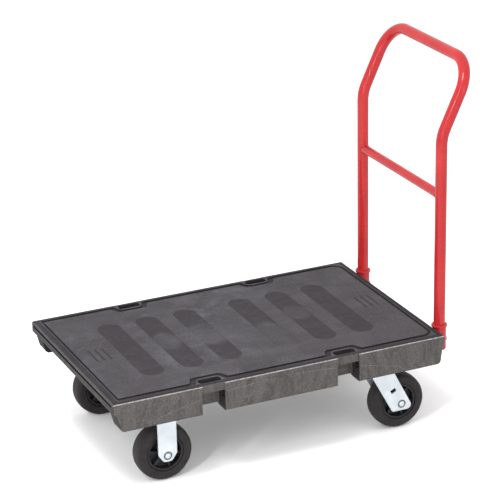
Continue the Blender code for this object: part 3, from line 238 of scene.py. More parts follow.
def deck_resin():
    s = Surface("deck_resin", Specular_IOR_Level=0.15)
    x, y, z = s.axes()
    away = s.size(y)
    up = s.axes(s.coords.outputs["Normal"])[2]
    top = s.step(up, 0.55, 0.90)
    side = s.math("SUBTRACT", 1.0, top)

    # swirls that run down the sides, broad mottling and bands on top, and grain everywhere
    bend = s.noise(9.0, 3.0, 0.5)
    shift = s.node("ShaderNodeCombineXYZ", {"X": s.times(bend, 0.10), "Y": s.times(bend, 0.03)})
    bent = s.node("ShaderNodeVectorMath", {0: s.place, 1: shift.outputs["Vector"]}, operation="ADD")
    bent = bent.outputs["Vector"]
    streaks = s.noise(1.0, 6.0, 0.62, 0.25, s.stretched((60.0, 60.0, 10.0), place=bent))
    fibres = s.noise(1.0, 4.0, 0.60, 0.0, s.stretched((330.0, 330.0, 46.0), place=bent))
    broad = s.noise(7.5, 5.0, 0.60, 0.6)
    speck = s.noise(620.0, 2.0, 0.6)
    cloud = s.noise(38.0, 5.0, 0.62, 0.3)
    grain_tone = s.noise(210.0, 5.0, 0.75)
    across = s.noise(1.0, 3.0, 0.55, 0.4, s.stretched((7.0, 1.2, 1.0)))
    along = s.noise(1.0, 3.0, 0.55, 0.4, s.stretched((1.4, 16.0, 1.0)))

    # the top's tones are darker than the sides' as painted shade, offsetting the stronger light that falls on
    # top
    top_tone = s.mix(s.step(broad, 0.34, 0.68), (0.038, 0.035, 0.040), (0.080, 0.077, 0.086))
    top_tone = s.over(top_tone, (0.110, 0.108, 0.118), s.step(cloud, 0.46, 0.70), 0.55)
    top_tone = s.over(top_tone, (0.044, 0.039, 0.044), s.step(across, 0.40, 0.62), 0.45)
    top_tone = s.over(top_tone, (0.050, 0.044, 0.049), s.step(along, 0.42, 0.60), 0.40)
    side_tone = s.mix(s.step(streaks, 0.36, 0.62), (0.050, 0.046, 0.043), (0.086, 0.080, 0.073))
    side_tone = s.over(side_tone, (0.118, 0.111, 0.102), s.step(fibres, 0.48, 0.62), 0.55)
    side_tone = s.over(side_tone, (0.062, 0.057, 0.061), s.step(broad, 0.30, 0.62), 0.35)
    colour = s.mix(top, side_tone, top_tone)
    colour = s.over(colour, (0.020, 0.018, 0.020), s.step(grain_tone, 0.40, 0.62, 0.42, 0.0))
    colour = s.over(colour, (0.115, 0.111, 0.118), s.step(grain_tone, 0.54, 0.68, 0.0, 0.35))

    # smooth pads, scuffed back toward grey in places
    scuffs = s.most([spot(s, x, y, middle, reach) for middle, reach in (
        ((-0.085, 0.000), (0.075, 0.090)), ((0.080, -0.105), (0.062, 0.130)),
        ((-0.199, 0.005), (0.045, 0.070)), ((0.195, 0.020), (0.045, 0.060)))])
    kept = s.times(s.step(scuffs, 0.0, 1.0, 1.0, 0.25), s.step(cloud, 0.20, 0.55, 0.80, 1.0))
    colour = s.over(colour, (0.025, 0.021, 0.025), s.times(s.face_value("pad"), kept), 0.90)

    # painted shade along the sink lines over the ribs below, a dull band of painted sheen along each side, and
    # painted shade on the sloping rim
    sinks = s.most([s.step(s.size(s.math("SUBTRACT", value, middle)), 0.0, wide, 1.0, 0.0)
                    for value, middle, wide in ((y, 0.040, 0.0040), (y, -0.035, 0.0040), (x, 0.0, 0.0045))])
    sinks = s.times(s.times(sinks, top), s.step(broad, 0.35, 0.60))
    colour = s.over(colour, (0.036, 0.032, 0.036), sinks, 0.40)
    band = s.step(s.size(s.math("SUBTRACT", away, 0.218)), 0.006, 0.024, 1.0, 0.0)
    band = s.times(s.times(band, top), s.step(along, 0.35, 0.60))
    colour = s.over(colour, (0.048, 0.044, 0.048), band, 0.40)
    rim = s.most([s.step(away, 0.2868, 0.2960), s.step(x, 0.4600, 0.4612)])
    colour = s.over(colour, (0.022, 0.019, 0.021), s.times(rim, top), 0.70)

    # scuffs, edge wear with a painted highlight, and grime with painted shade in the slots and recesses
    marks = scratches(s, (0.10, 1.45, -0.55, 0.80))
    colour = s.over(colour, (0.190, 0.182, 0.190), marks, 0.35)
    wear_and_highlight = s.times(s.face_value("wear_and_highlight"), s.step(s.noise(240.0, 4.0, 0.7), 0.34, 0.66, 0.30, 1.0))
    colour = s.over(colour, (0.300, 0.288, 0.284), wear_and_highlight)
    # painted shade on the slots' inner walls, near black
    painted_slot_shade = side
    for share in (s.step(away, SLOT_INNER - 0.0015, SLOT_INNER - 0.0008),
                  s.step(away, SLOT_OUTER + 0.0005, SLOT_OUTER + 0.0011, 1.0, 0.0),
                  s.step(z, POCKET_TOP + 0.0015, POCKET_TOP + 0.0035),
                  s.step(s.size(x), 0.400, 0.410, 1.0, 0.0)):
        painted_slot_shade = s.times(painted_slot_shade, share)
    colour = s.over(colour, (0.008, 0.007, 0.008), s.most([s.face_value("dirt_and_shade"), painted_slot_shade]), 0.85)

    roughness = s.math("ADD", s.step(cloud, 0.30, 0.70, 0.62, 0.74), s.times(speck, 0.06))
    grain = s.bump(speck, 0.00022)
    grain = s.bump(s.times(fibres, side), 0.00035, 1.0, grain)
    grain = s.bump(cloud, 0.0009, 0.5, grain)
    grain = s.bump(marks, 0.00015, 1.0, grain)
    return s.finish(colour, roughness, grain)


def red_paint():
    s = Surface("red_powder_coat", Coat_Weight=0.40, Coat_Roughness=0.05, Specular_IOR_Level=0.08)
    colour = s.mix(s.step(s.noise(11.0, 3.0), 0.30, 0.70), (0.310, 0.012, 0.014), (0.365, 0.017, 0.018))
    marks = scratches(s, (0.3, 1.9), 700.0, 30.0, 0.68, 0.76)
    colour = s.over(colour, (0.680, 0.200, 0.180), marks, 0.22)
    roughness = s.math("ADD", s.step(s.noise(170.0, 3.0), 0.30, 0.70, 0.24, 0.34), s.times(marks, 0.20))
    peel = s.bump(s.noise(900.0, 2.0, 0.5), 0.00006)
    return s.finish(colour, roughness, s.bump(s.noise(95.0, 2.0), 0.00006, 0.6, peel))


def zinc_plate():
    s = Surface("zinc_plate", Metallic=0.55)
    shade = s.node("ShaderNodeSeparateColor", {"Color": s.cell_colours(150.0)}).outputs["Red"]
    brushed = s.noise(1.0, 4.0, 0.6, place=s.stretched((40.0, 40.0, 900.0)))
    colour = s.mix(s.step(s.noise(22.0, 4.0), 0.30, 0.70), (0.430, 0.465, 0.495), (0.525, 0.558, 0.588))
    colour = s.over(colour, (0.430, 0.468, 0.505), shade, 0.14)
    marks = scratches(s, (0.2, 1.2), 800.0, 40.0, 0.66, 0.74)
    colour = s.over(colour, (0.320, 0.340, 0.365), marks, 0.25)
    # painted shade in the dimple round the axle bolt's head
    colour = s.over(colour, (0.060, 0.064, 0.070), s.face_value("shade"), 0.80)
    roughness = s.math("ADD", s.step(shade, 0.0, 1.0, 0.30, 0.42), s.times(brushed, 0.10))
    return s.finish(colour, roughness, s.bump(brushed, 0.00004, 0.8, s.bump(marks, 0.00005)))


def plain_steel():
    s = Surface("plain_steel", Metallic=1.0)
    broad = s.noise(60.0, 4.0)
    rings = s.noise(1.0, 3.0, 0.6, place=s.stretched((60.0, 1400.0, 60.0)))
    colour = s.mix(s.step(broad, 0.30, 0.70), (0.380, 0.375, 0.370), (0.520, 0.515, 0.510))
    return s.finish(colour, s.step(broad, 0.30, 0.70, 0.30, 0.48), s.bump(rings, 0.00005))


def tyre_rubber():
    s = Surface("tyre_rubber", Specular_IOR_Level=0.13)
    x, _, z = s.axes()
    radius = s.math("SQRT", s.math("ADD", s.times(x, x), s.times(z, z)))
    tread = s.step(radius, 0.0725, 0.0775)
    broad = s.step(s.noise(38.0, 5.0, 0.6, 0.4), 0.30, 0.70)
    colour = s.mix(broad, (0.015, 0.013, 0.014), (0.024, 0.021, 0.022))
    dust = s.times(tread, s.step(s.noise(130.0, 5.0, 0.7), 0.35, 0.70))
    colour = s.over(colour, (0.080, 0.074, 0.070), dust, 0.32)
    colour = s.over(colour, (0.060, 0.056, 0.057), s.step(s.noise(420.0, 3.0, 0.6), 0.62, 0.74), 0.25)
    rings = s.times(s.math("SINE", s.times(radius, 5200.0)), s.math("SUBTRACT", 1.0, tread))
    normal = s.bump(s.noise(900.0, 2.0), 0.00010, 1.0, s.bump(rings, 0.00003))
    roughness = s.math("ADD", s.times(broad, 0.12), s.math("ADD", s.times(dust, 0.20), 0.52))
    return s.finish(colour, roughness, normal)


def hub_resin():
    s = Surface("hub_resin", Specular_IOR_Level=0.20)
    broad = s.noise(55.0, 4.0)
    colour = s.mix(s.step(broad, 0.30, 0.70), (0.009, 0.009, 0.010), (0.019, 0.018, 0.020))
    flow = s.noise(1.0, 4.0, 0.6, 0.5, s.stretched((30.0, 120.0, 30.0)))
    colour = s.over(colour, (0.026, 0.025, 0.027), s.step(flow, 0.52, 0.70), 0.5)
    return s.finish(colour, s.step(broad, 0.30, 0.70, 0.30, 0.45), s.bump(s.noise(760.0, 2.0), 0.00009))


def floor_paper():
    s = Surface("floor_paper", Roughness=0.9, Specular_IOR_Level=0.1)
    colour = s.mix(s.noise(3.0, 2.0), (0.900, 0.900, 0.900), (0.912, 0.912, 0.912))
    return s.finish(colour)


MATERIALS = {
    "deck_plastic": deck_resin(), "red_paint": red_paint(), "zinc_steel": zinc_plate(),
    "bushing_steel": plain_steel(), "tyre_rubber": tyre_rubber(), "hub_plastic": hub_resin(),
}


# ---------------------------------------------------------------- outlines
def rounded(corners):
    """A closed outline from (x, y, radius, steps) corners, each turned into an arc."""
    points = []
    for index, (x, y, radius, steps) in enumerate(corners):
        here = Vector((x, y))
        if radius == 0:
            points.append(here)
            continue
        before = (Vector(corners[index - 1][:2]) - here).normalized()
        after = (Vector(corners[(index + 1) % len(corners)][:2]) - here).normalized()
        half = before.angle(after) / 2
        centre = here + (before + after).normalized() * radius / math.sin(half)
        start = here + before * radius / math.tan(half) - centre
        turn = (math.pi - 2 * half) * (1 if before.cross(after) < 0 else -1)
        for step in range(steps + 1):
            points.append(centre + Matrix.Rotation(turn * step / steps, 2) @ start)
    return points


def rectangle(low_x, high_x, low_y, high_y, radius=0.0, steps=6):
    corners = ((low_x, low_y), (high_x, low_y), (high_x, high_y), (low_x, high_y))
    return rounded([(x, y, radius, steps) for x, y in corners])


# ---------------------------------------------------------------- meshes
def mesh_from(bm, name):
    mesh = bpy.data.meshes.new(name)
    bm.to_mesh(mesh)
    bm.free()
    return mesh


def edited(mesh, work):
    bm = bmesh.new()
    bm.from_mesh(mesh)
    work(bm)
    bm.to_mesh(mesh)
    bm.free()
    return mesh


def linked(name, data):
    """A new object in the scene."""
    made = bpy.data.objects.new(name, data)
    bpy.context.scene.collection.objects.link(made)
    return made


def evaluated(thing):
    return bpy.data.meshes.new_from_object(thing.evaluated_get(bpy.context.evaluated_depsgraph_get()))


def bevel(bm, edges, width, segments, **settings):
    bmesh.ops.bevel(bm, geom=edges, offset=width, segments=segments, profile=0.5, affect="EDGES", **settings)


def edges_at(bm, axis, level):
    """The edges that lie wholly at one level along an axis."""
    return [e for e in bm.edges if all(abs(v.co[axis] - level) < WELD_DISTANCE for v in e.verts)]


def box_mesh(name, boxes):
    """Separate boxes, each given by its low corner and its high corner."""
    bm = bmesh.new()
    for low, high in boxes:
        low, high = Vector(low), Vector(high)
        place = Matrix.Translation((low + high) / 2) @ Matrix.Diagonal((*(high - low), 1))
        bmesh.ops.create_cube(bm, size=1, matrix=place)
    return mesh_from(bm, name)


def rod_mesh(name, rods, radius, sides):
    """Round or many-sided rods, each given by its two ends."""
    bm = bmesh.new()
    for start, end in rods:
        start, end = Vector(start), Vector(end)
        turn = Vector((0, 0, 1)).rotation_difference(end - start).to_matrix().to_4x4()
        place = Matrix.Translation((start + end) / 2) @ turn
        bmesh.ops.create_cone(bm, cap_ends=True, segments=sides, radius1=radius, radius2=radius,
                              depth=(end - start).length, matrix=place)
    return mesh_from(bm, name)


def curve_mesh(curve, loops, cyclic=True, swell=None):
    """The mesh of a curve with one line per loop. swell gives each point's share of the curve's thickness."""
    for loop in loops:
        spline = curve.splines.new("POLY")
        spline.points.add(len(loop) - 1)
        for index, (point, place) in enumerate(zip(spline.points, loop)):
            point.co = (*place.to_3d(), 1)
            point.radius = swell[index] if swell else 1.0
        spline.use_cyclic_u = cyclic
    holder = linked(curve.name, curve)
    mesh = evaluated(holder)
    bpy.data.objects.remove(holder)
    bpy.data.curves.remove(curve)
    return mesh


def plate_mesh(name, loops, low, high, upright=False):
    """Flat plates from low to high, whose outlines and holes are loops. Upright plates stand in XZ."""
    curve = bpy.data.curves.new(name, "CURVE")
    curve.dimensions = "2D"
    curve.fill_mode = "BOTH"
    curve.extrude = (high - low) / 2

    def tidy(bm):
        bmesh.ops.remove_doubles(bm, verts=bm.verts, dist=WELD_DISTANCE)
        bmesh.ops.dissolve_limit(bm, angle_limit=0.001, verts=bm.verts, edges=bm.edges)
        bmesh.ops.translate(bm, verts=bm.verts, vec=(0, 0, (low + high) / 2))
        if upright:
            bmesh.ops.rotate(bm, verts=bm.verts, matrix=Matrix.Rotation(math.pi / 2, 3, "X"))
            bmesh.ops.translate(bm, verts=bm.verts, vec=(0, low + high, 0))
        bmesh.ops.recalc_face_normals(bm, faces=bm.faces)
    return edited(curve_mesh(curve, loops), tidy)


def from_corner(radius, height, *steps):
    """Profile points at steps, in millimetres, from one corner of a profile."""
    return [(radius + across / 1000, height + up / 1000) for across, up in steps]


def turned_mesh(name, profile, steps, axis="Z"):
    """A profile of (radius, height) points turned about Z, or about Y. A ring's profile is closed."""
    bm = bmesh.new()
    points = [bm.verts.new((radius, 0, height)) for radius, height in profile]
    pairs = list(zip(points, points[1:]))
    if profile[0][0] != 0:
        pairs.append((points[-1], points[0]))
    edges = [bm.edges.new(pair) for pair in pairs]
    bmesh.ops.spin(bm, geom=points + edges, angle=2 * math.pi, steps=steps, axis=(0, 0, 1), use_merge=True)
    bmesh.ops.remove_doubles(bm, verts=bm.verts, dist=WELD_DISTANCE)
    bmesh.ops.recalc_face_normals(bm, faces=bm.faces)
    if axis == "Y":
        bmesh.ops.rotate(bm, verts=bm.verts, matrix=Matrix.Rotation(math.pi / 2, 3, "X"))
    return mesh_from(bm, name)


def combined(name, base, cuts=(), joins=(), keeps=()):
    """A base mesh kept where it meets keeps, then joined with joins, then cut by cuts."""
    body = linked(name, base)
    tools = []
    for operation, meshes in (("INTERSECT", keeps), ("UNION", joins), ("DIFFERENCE", cuts)):
        for mesh in meshes:
            tools.append(linked(mesh.name, mesh))
            modifier = body.modifiers.new(mesh.name, "BOOLEAN")
            modifier.operation = operation
            modifier.object = tools[-1]
    result = evaluated(body)
    for item in [body, *tools]:
        bpy.data.objects.remove(item)
    result.name = name
    return result


def softened(mesh, width):
    """Rounds every sharp edge."""
    def work(bm):
        bmesh.ops.remove_doubles(bm, verts=bm.verts, dist=WELD_DISTANCE)
        bmesh.ops.dissolve_limit(bm, angle_limit=math.radians(1), verts=bm.verts, edges=bm.edges)
        sharp = [e for e in bm.edges if len(e.link_faces) == 2 and e.calc_face_angle(0) > SHARP_ANGLE]
        bevel(bm, sharp, width, 2, clamp_overlap=True, miter_outer="ARC")
    return edited(mesh, work)


# ---------------------------------------------------------------- placing pieces
def piece(name, mesh, slot, body, place=(0, 0, 0), smooth=35.0, stands_for=(), turn=(0, 0, 0)):
    made = linked(name, mesh)
    made.location = place
    made.rotation_euler = turn
    mesh.materials.clear()
    mesh.materials.append(MATERIALS[slot])
    mesh.shade_smooth()
    mesh.set_sharp_from_angle(angle=math.radians(smooth))
    made.modifiers.new("even_normals", "WEIGHTED_NORMAL").keep_sharp = True
    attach(made, body)
    if stands_for:
        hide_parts(*stands_for)
    return made


def centre(node):
    low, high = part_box(node)
    return (low + high) / 2


def under_head(node, height):
    """Where an upright bolt's head ends and its shank starts."""
    middle = centre(node)
    return middle.x, middle.y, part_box(node)[0].z + height


# ---------------------------------------------------------------- deck
def slab_mesh():
    """The load slab: a rim that falls outward, and rounded outer edges."""
    level = DECK_TOP - RIM_FALL
    half = HALF_LENGTH

    def shape(bm):
        top = max(bm.faces, key=lambda face: face.calc_center_median().z)
        bmesh.ops.inset_individual(bm, faces=[top], thickness=RIM_WIDTH, depth=RIM_FALL, use_even_offset=True)
        upright = [e for e in bm.edges if abs(e.verts[0].co.z - e.verts[1].co.z) > PAST]
        bevel(bm, edges_at(bm, 2, level) + upright, EDGE_RADIUS, 5, clamp_overlap=True)
    outline = rectangle(-half, half, -SLAB_SIDE - 5 * TRIM, SLAB_SIDE + 5 * TRIM)
    return edited(plate_mesh("deck_slab", [outline], DECK_UNDERSIDE, level), shape)


def notch_boxes():
    half = NOTCH_LENGTH / 2
    return mirrored_boxes([((x - half, SLAB_SIDE - NOTCH_DEPTH, POCKET_TOP - PAST / 2),
                            (x + half, HALF_WIDTH + PAST, DECK_TOP + PAST)) for x in SLOT_XS])


def rail_profile():
    """One side rail seen from the side, with its ends leaning in toward the bottom."""
    heights = ((RAIL_TOP, 0, 0), (RAIL_WAIST, 0.030, 6), (RAIL_BOTTOM, 0.012, 10))
    tail = [(back - HALF_LENGTH, *rest) for back, rest in zip(TAIL_SETBACKS, heights)]
    handle = [(HALF_LENGTH - back, *rest) for back, rest in zip(HANDLE_SETBACKS, heights)]
    return rounded(tail + handle[::-1])


def rail_mesh(sign):
    outside = sign * (SLAB_SIDE + TRIM)
    low, high = sorted((sign * RAIL_INNER, outside))

    def shape(bm):
        bevel(bm, edges_at(bm, 1, outside), RAIL_EDGE_RADIUS, 4)
    return edited(plate_mesh("side_rail", [rail_profile()], low, high, upright=True), shape)


def mirrored_boxes(boxes):
    return list(boxes) + [((lx, -hy, lz), (hx, -ly, hz)) for (lx, ly, lz), (hx, hy, hz) in boxes]


def mount_blocks():
    spans = ((-MOUNT_FAR, -MOUNT_NEAR), (MOUNT_NEAR, MOUNT_FAR))
    boxes = [((low, MOUNT_INNER, CASTOR_TOP + GAP), (high, MOUNT_OUTER, RAIL_TOP)) for low, high in spans]
    return box_mesh("mount_blocks", mirrored_boxes(boxes))


def pocket_boxes():
    low_z, past = RAIL_BOTTOM - PAST, HALF_WIDTH + PAST
    return mirrored_boxes([((x - HALF_POCKET, SLOT_INNER, low_z), (x + HALF_POCKET, past, POCKET_TOP))
                           for x in SLOT_XS])


def cells(low, high, count):
    """Equal stretches from low to high with a rib between neighbours."""
    step = (high - low + RAIL_WALL) / count
    return [(low + k * step, low + (k + 1) * step - RAIL_WALL) for k in range(count)]


def bay_boxes():
    """Open bays between the ribs under the load skin."""
    middle, inner_side, block_side = (side - RAIL_WALL for side in (MOUNT_NEAR, RAIL_INNER, MOUNT_INNER))
    end_columns = cells(MOUNT_NEAR, MOUNT_FAR, 2) + [(MOUNT_FAR + RAIL_WALL, HALF_LENGTH - END_WALL)]
    end_columns += [(-high, -low) for low, high in end_columns]
    grids = ((cells(-middle, middle, 5), cells(-inner_side, inner_side, 5)),
             (end_columns, cells(-block_side, block_side, 3)))
    return [((low_x, low_y, DECK_UNDERSIDE - PAST), (high_x, high_y, SKIN_TOP))
            for columns, rows in grids for low_x, high_x in columns for low_y, high_y in rows]


def rail_hollow_boxes():
    """Hollows inside the side rails, open below, and the raised bottom behind each pocket."""
    low_z, inner, beside = RAIL_BOTTOM - PAST, RAIL_INNER + RAIL_WALL, MOUNT_OUTER + RAIL_WALL
    first, last = SLOT_XS[0] + HALF_POCKET + RAIL_WALL, SLOT_XS[1] - HALF_POCKET - RAIL_WALL
    spans = [(low, high, inner) for low, high in cells(first, last, 4)]
    for ends in ((MOUNT_NEAR, MOUNT_FAR), (-MOUNT_FAR, -MOUNT_NEAR)):
        spans += [(low, high, beside) for low, high in cells(*ends, 2)]
    start = MOUNT_FAR + RAIL_WALL
    spans += [(start, RAIL_HOLLOW_END, inner), (-RAIL_HOLLOW_END, -start, inner)]
    boxes = [((low, side, low_z), (high, HALF_WIDTH - RAIL_WALL, RIM_SKIN_TOP)) for low, high, side in spans]
    wide, back = HALF_POCKET + RELIEF_HEIGHT, SLOT_INNER + RELIEF_HEIGHT
    boxes += [((x - wide, RAIL_INNER - GAP, low_z), (x + wide, back, POCKET_BACK_BOTTOM)) for x in SLOT_XS]
    return mirrored_boxes(boxes)


def rail_window_boxes():
    """Openings from the hollow rails into the pockets."""
    into, edge, close = 0.004, RAIL_WALL + 0.001, HALF_POCKET - GAP
    past_rib, past_mount = HALF_POCKET + RAIL_WALL + into, MOUNT_NEAR + into
    tail, handle = SLOT_XS
    spans = ((-past_mount, tail - close), (tail + close, tail + past_rib),
             (handle - past_rib, handle - close), (handle + close, past_mount))
    return mirrored_boxes([((low, MOUNT_OUTER + edge, WINDOW_BOTTOM), (high, HALF_WIDTH - edge, WINDOW_TOP))
                           for low, high in spans])


def bulge(middle, side, grow):
    """The groove's way round a slot, grown outward from the panel by grow."""
    base, tip = BULGE_BASE - grow, BULGE_TIP - grow
    edge = side * (PANEL_HALF_WIDTH + grow)
    reach = side * (PANEL_HALF_WIDTH + grow - BULGE_REACH)
    foot, head = (edge, BULGE_BASE_RADIUS, 6), (reach, BULGE_TIP_RADIUS, 8)
    corners = [(middle - base, *foot), (middle - tip, *head), (middle + tip, *head), (middle + base, *foot)]
    return corners if side < 0 else corners[::-1]


def panel_loop(grow):
    """Edge of the raised panel, or of the groove outside it when grow is above zero."""
    share = grow / GROOVE_SIDE
    tail, handle = PANEL_TAIL - share * GROOVE_TAIL, PANEL_HANDLE + share * GROOVE_HANDLE
    side = PANEL_HALF_WIDTH + grow
    tail_radius, handle_radius = PANEL_TAIL_RADIUS, PANEL_HANDLE_RADIUS + grow
    corners = [(tail, -side, tail_radius, 4)]
    for middle in SLOT_XS:
        corners += bulge(middle, -1, grow)
    corners += [(handle, -side, handle_radius, 16), (handle, side, handle_radius, 16)]
    for middle in reversed(SLOT_XS):
        corners += bulge(middle, 1, grow)
    corners.append((tail, side, tail_radius, 4))
    return rounded(corners)


def slot_loops():
    half = SLOT_LENGTH / 2
    return [rectangle(x - half, x + half, low, low + SLOT_OUTER - SLOT_INNER, SLOT_CORNER, 8)
            for x in SLOT_XS for low in (SLOT_INNER, -SLOT_OUTER)]


def pad_cutter():
    """Six long smooth pads, sunk a little, with sloping edges."""
    half = PAD_WIDTH / 2
    loops = []
    for sign in (-1, 1):
        for k in range(3):
            x = PAD_MIDDLE + sign * (PAD_FIRST + k * PAD_PITCH)
            loops.append(rectangle(x - half, x + half, -PAD_HALF_LENGTH, PAD_HALF_LENGTH, half * 0.999, 18))
            bar = BAR_MIDDLE + sign * BAR_FIRST + k * BAR_PITCH
            far, end = bar + BAR_WIDTH, BAR_HALF_LENGTH
            loops.append(rectangle(bar, far, -end, end, BAR_WIDTH * 0.45, 6))
    floor = DECK_TOP - PAD_DEPTH

    def slope(bm):
        bevel(bm, edges_at(bm, 2, floor), PAD_DEPTH * 0.85, 1)
    return edited(plate_mesh("pad_cutter", loops, floor, DECK_TOP + PAST), slope)


def end_groove_boxes():
    face = HALF_LENGTH
    low, high = face - END_GROOVE_DEPTH, face + PAST
    return [((a, -END_GROOVE_HALF, END_GROOVE_LOW), (b, END_GROOVE_HALF, END_GROOVE_HIGH))
            for a, b in ((low, high), (-high, -low))]


def relief_mesh(sign):
    """Raised fields on one side rail: an arch in the middle and a sweep toward each end."""
    half, inset = HALF_POCKET, 0.006
    first, last = SLOT_XS[0] + half + inset, SLOT_XS[1] - half - inset
    middle, span = (first + last) / 2, (last - first) / 2
    low_z, steps = RAIL_BOTTOM + inset, 24
    arch = []
    for k in range(steps + 1):
        t = 1 - 2 * k / steps
        arch.append(Vector((middle + t * span, DECK_TOP - 0.0270 + 0.0075 * (1 - t * t))))
    fields = [[Vector((first, low_z)), Vector((last, low_z)), *arch]]
    for direction, slot in ((-1, SLOT_XS[0]), (1, SLOT_XS[1])):
        near = slot + direction * (half + inset)
        loop = rounded([(near, low_z, 0, 0), (near, DECK_TOP - 0.0365, 0.004, 5),
                        (near + direction * 0.112, DECK_TOP - 0.0610, 0.012, 10),
                        (near + direction * 0.130, low_z, 0, 0)])
        fields.append(loop if direction < 0 else loop[::-1])
    outside = sign * HALF_WIDTH
    low, high = sorted((sign * (SLAB_SIDE - RAIL_WALL / 3), outside))

    def shape(bm):
        bevel(bm, edges_at(bm, 1, outside), RELIEF_HEIGHT * 0.9, 2)
    return edited(plate_mesh("rail_relief", fields, low, high, upright=True), shape)


def face_tags(face):
    """How much wear and painted highlight, how much a pad's floor, and how much grime and painted shade a face
    of the deck has, each from 0 to 1.
    """
    x, y, z = face.center
    up, away, along = face.normal.z, abs(y), abs(x)
    half_length, half_width = HALF_LENGTH, HALF_WIDTH
    above_pads = z - DECK_TOP + PAD_DEPTH
    pad = 1.0 if up > 0.9 and abs(above_pads) < 0.0001 else 0.0
    from_slot = min(abs(x - middle) for middle in SLOT_XS)
    by_side, by_end = away > half_width - NOTCH_DEPTH - 0.0065, along > half_length - 0.0055
    edge = 0.22 < up < 0.94 and z > DECK_TOP - 0.0115
    in_slot = SLOT_INNER - 0.002 < away < SLOT_OUTER + 0.002 and from_slot < SLOT_LENGTH / 2 + 0.002
    # in a slot: a painted highlight on the mouth's inner edge, a fainter one on the outer, and painted shade
    # on the walls
    if in_slot and z > POCKET_TOP:
        if edge and z > DECK_TOP - 0.006:
            return 1.0 if away < SLOT_INNER + 0.003 else 0.2, pad, 0.0
        return 0.0, pad, 1.0 if up < 0.25 else 0.0
    in_rail = RAIL_INNER - 0.001 < away < half_width - 0.0015
    in_rail = in_rail and RAIL_BOTTOM + 0.002 < z < RIM_SKIN_TOP + 0.001
    # painted shade inside the rail hollows
    if in_rail and from_slot > HALF_POCKET - 0.0005:
        return 0.0, pad, 0.95
    # the outer top edge: wear, with a painted highlight on the near side and little on the far side
    if by_side and edge:
        return 1.0 if y < 0 else 0.15, pad, 0.0
    # the groove round the panel: grime and painted shade
    sunk = -GROOVE_DEPTH - 0.001 < z - DECK_TOP < -0.0008 and up > -0.5
    if sunk and not by_side and not by_end and abs(above_pads) > 0.0003:
        return 0.0, pad, 0.5 if away > PANEL_HALF_WIDTH - 0.001 and up > 0.5 else 0.8
    # relief edges: a painted highlight on ledges that face up, painted shade under those that face down
    if 0.12 < abs(face.normal.y) < 0.93 and up > -0.2 and away > SLAB_SIDE - 0.0002 and z < DECK_TOP - 0.02:
        return (0.45, pad, 0.0) if up > 0.05 else (0.0, pad, 0.65)
    # the groove across each end: painted shade
    if END_GROOVE_LOW - 0.0005 < z < END_GROOVE_HIGH + 0.0005 and half_length - 0.009 < along:
        return 0.0, pad, 1.0 if along < half_length - 0.001 else 0.5
    return 0.0, pad, 0.0


def tag_faces(mesh, names, tags):
    """Writes each face's tags as face values of the mesh."""
    rows = zip(*(tags(face) for face in mesh.polygons))
    for name, row in zip(names, rows):
        mesh.attributes.new(name, "FLOAT", "FACE").data.foreach_set("value", row)


def round_slots(mesh):
    """Gives the slots' mouths a broad fillet."""
    def work(bm):
        mouth = []
        for edge in bm.edges:
            middle = (edge.verts[0].co + edge.verts[1].co) / 2
            inside = SLOT_INNER - 0.0005 < abs(middle.y) < SLOT_OUTER + 0.0005
            near = min(abs(middle.x - x) for x in SLOT_XS) < SLOT_LENGTH / 2 + 0.0005
            if inside and near and middle.z > DECK_TOP - 0.0045 and edge.calc_face_angle(0) > 0.6:
                mouth.append(edge)
        bevel(bm, mouth, 0.0024, 4, clamp_overlap=True)
    return edited(mesh, work)


def side_trim_boxes():
    end, past = HALF_LENGTH + PAST, HALF_WIDTH + PAST
    return mirrored_boxes([((-end, SLAB_SIDE, RAIL_BOTTOM - PAST), (end, past, DECK_TOP + PAST))])


def make_deck():
    groove = [panel_loop(GROOVE_SIDE), panel_loop(0.0)]
    boxes = (side_trim_boxes(), pocket_boxes(), notch_boxes(), bay_boxes(), rail_hollow_boxes(),
             rail_window_boxes())
    cuts = [box_mesh("deck_cutter", rows) for rows in boxes]
    cuts += [plate_mesh("slots", slot_loops(), POCKET_TOP - PAST, DECK_TOP + PAST),
             plate_mesh("groove", groove, DECK_TOP - GROOVE_DEPTH, DECK_TOP + PAST),
             box_mesh("end_grooves", end_groove_boxes())]
    shape = combined("deck_shape", slab_mesh(), cuts, [rail_mesh(1), rail_mesh(-1), mount_blocks()])
    shape = softened(round_slots(shape), 0.0010)
    shape = combined("deck_moulding", shape, [pad_cutter()], [relief_mesh(1), relief_mesh(-1)])
    tag_faces(shape, ("wear_and_highlight", "pad", "dirt_and_shade"), face_tags)
    piece("deck_moulding", shape, "deck_plastic", "truck", (DECK_X, 0, 0), stands_for=["deck"])


# ---------------------------------------------------------------- handle
SOCKET_LOW, SOCKET_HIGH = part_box("handle_socket_left")
TUBE_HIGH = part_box("handle_tube")[1]
BAR = centre("handle_crossbar")
TUBE_RADIUS = 0.015875
TUBE_WALL = 0.002
BAR_RADIUS = 0.0127
HANDLE_X = BAR.x
HANDLE_Y = TUBE_HIGH.y - TUBE_RADIUS
HANDLE_TOP = Vector((TUBE_HIGH.x - TUBE_RADIUS, 0, TUBE_HIGH.z - TUBE_RADIUS))
HANDLE_KNEE = DECK_TOP + 0.5315
KNEE_RADIUS = 0.110
CORNER_RADIUS = 0.085
RETAINER_HEIGHT = DECK_TOP - 0.0485
SOCKET_OUTER = 0.0192
TONGUE_HALF = 0.022
WELD_STEPS = 72
BOLT_SHANK = 0.0048


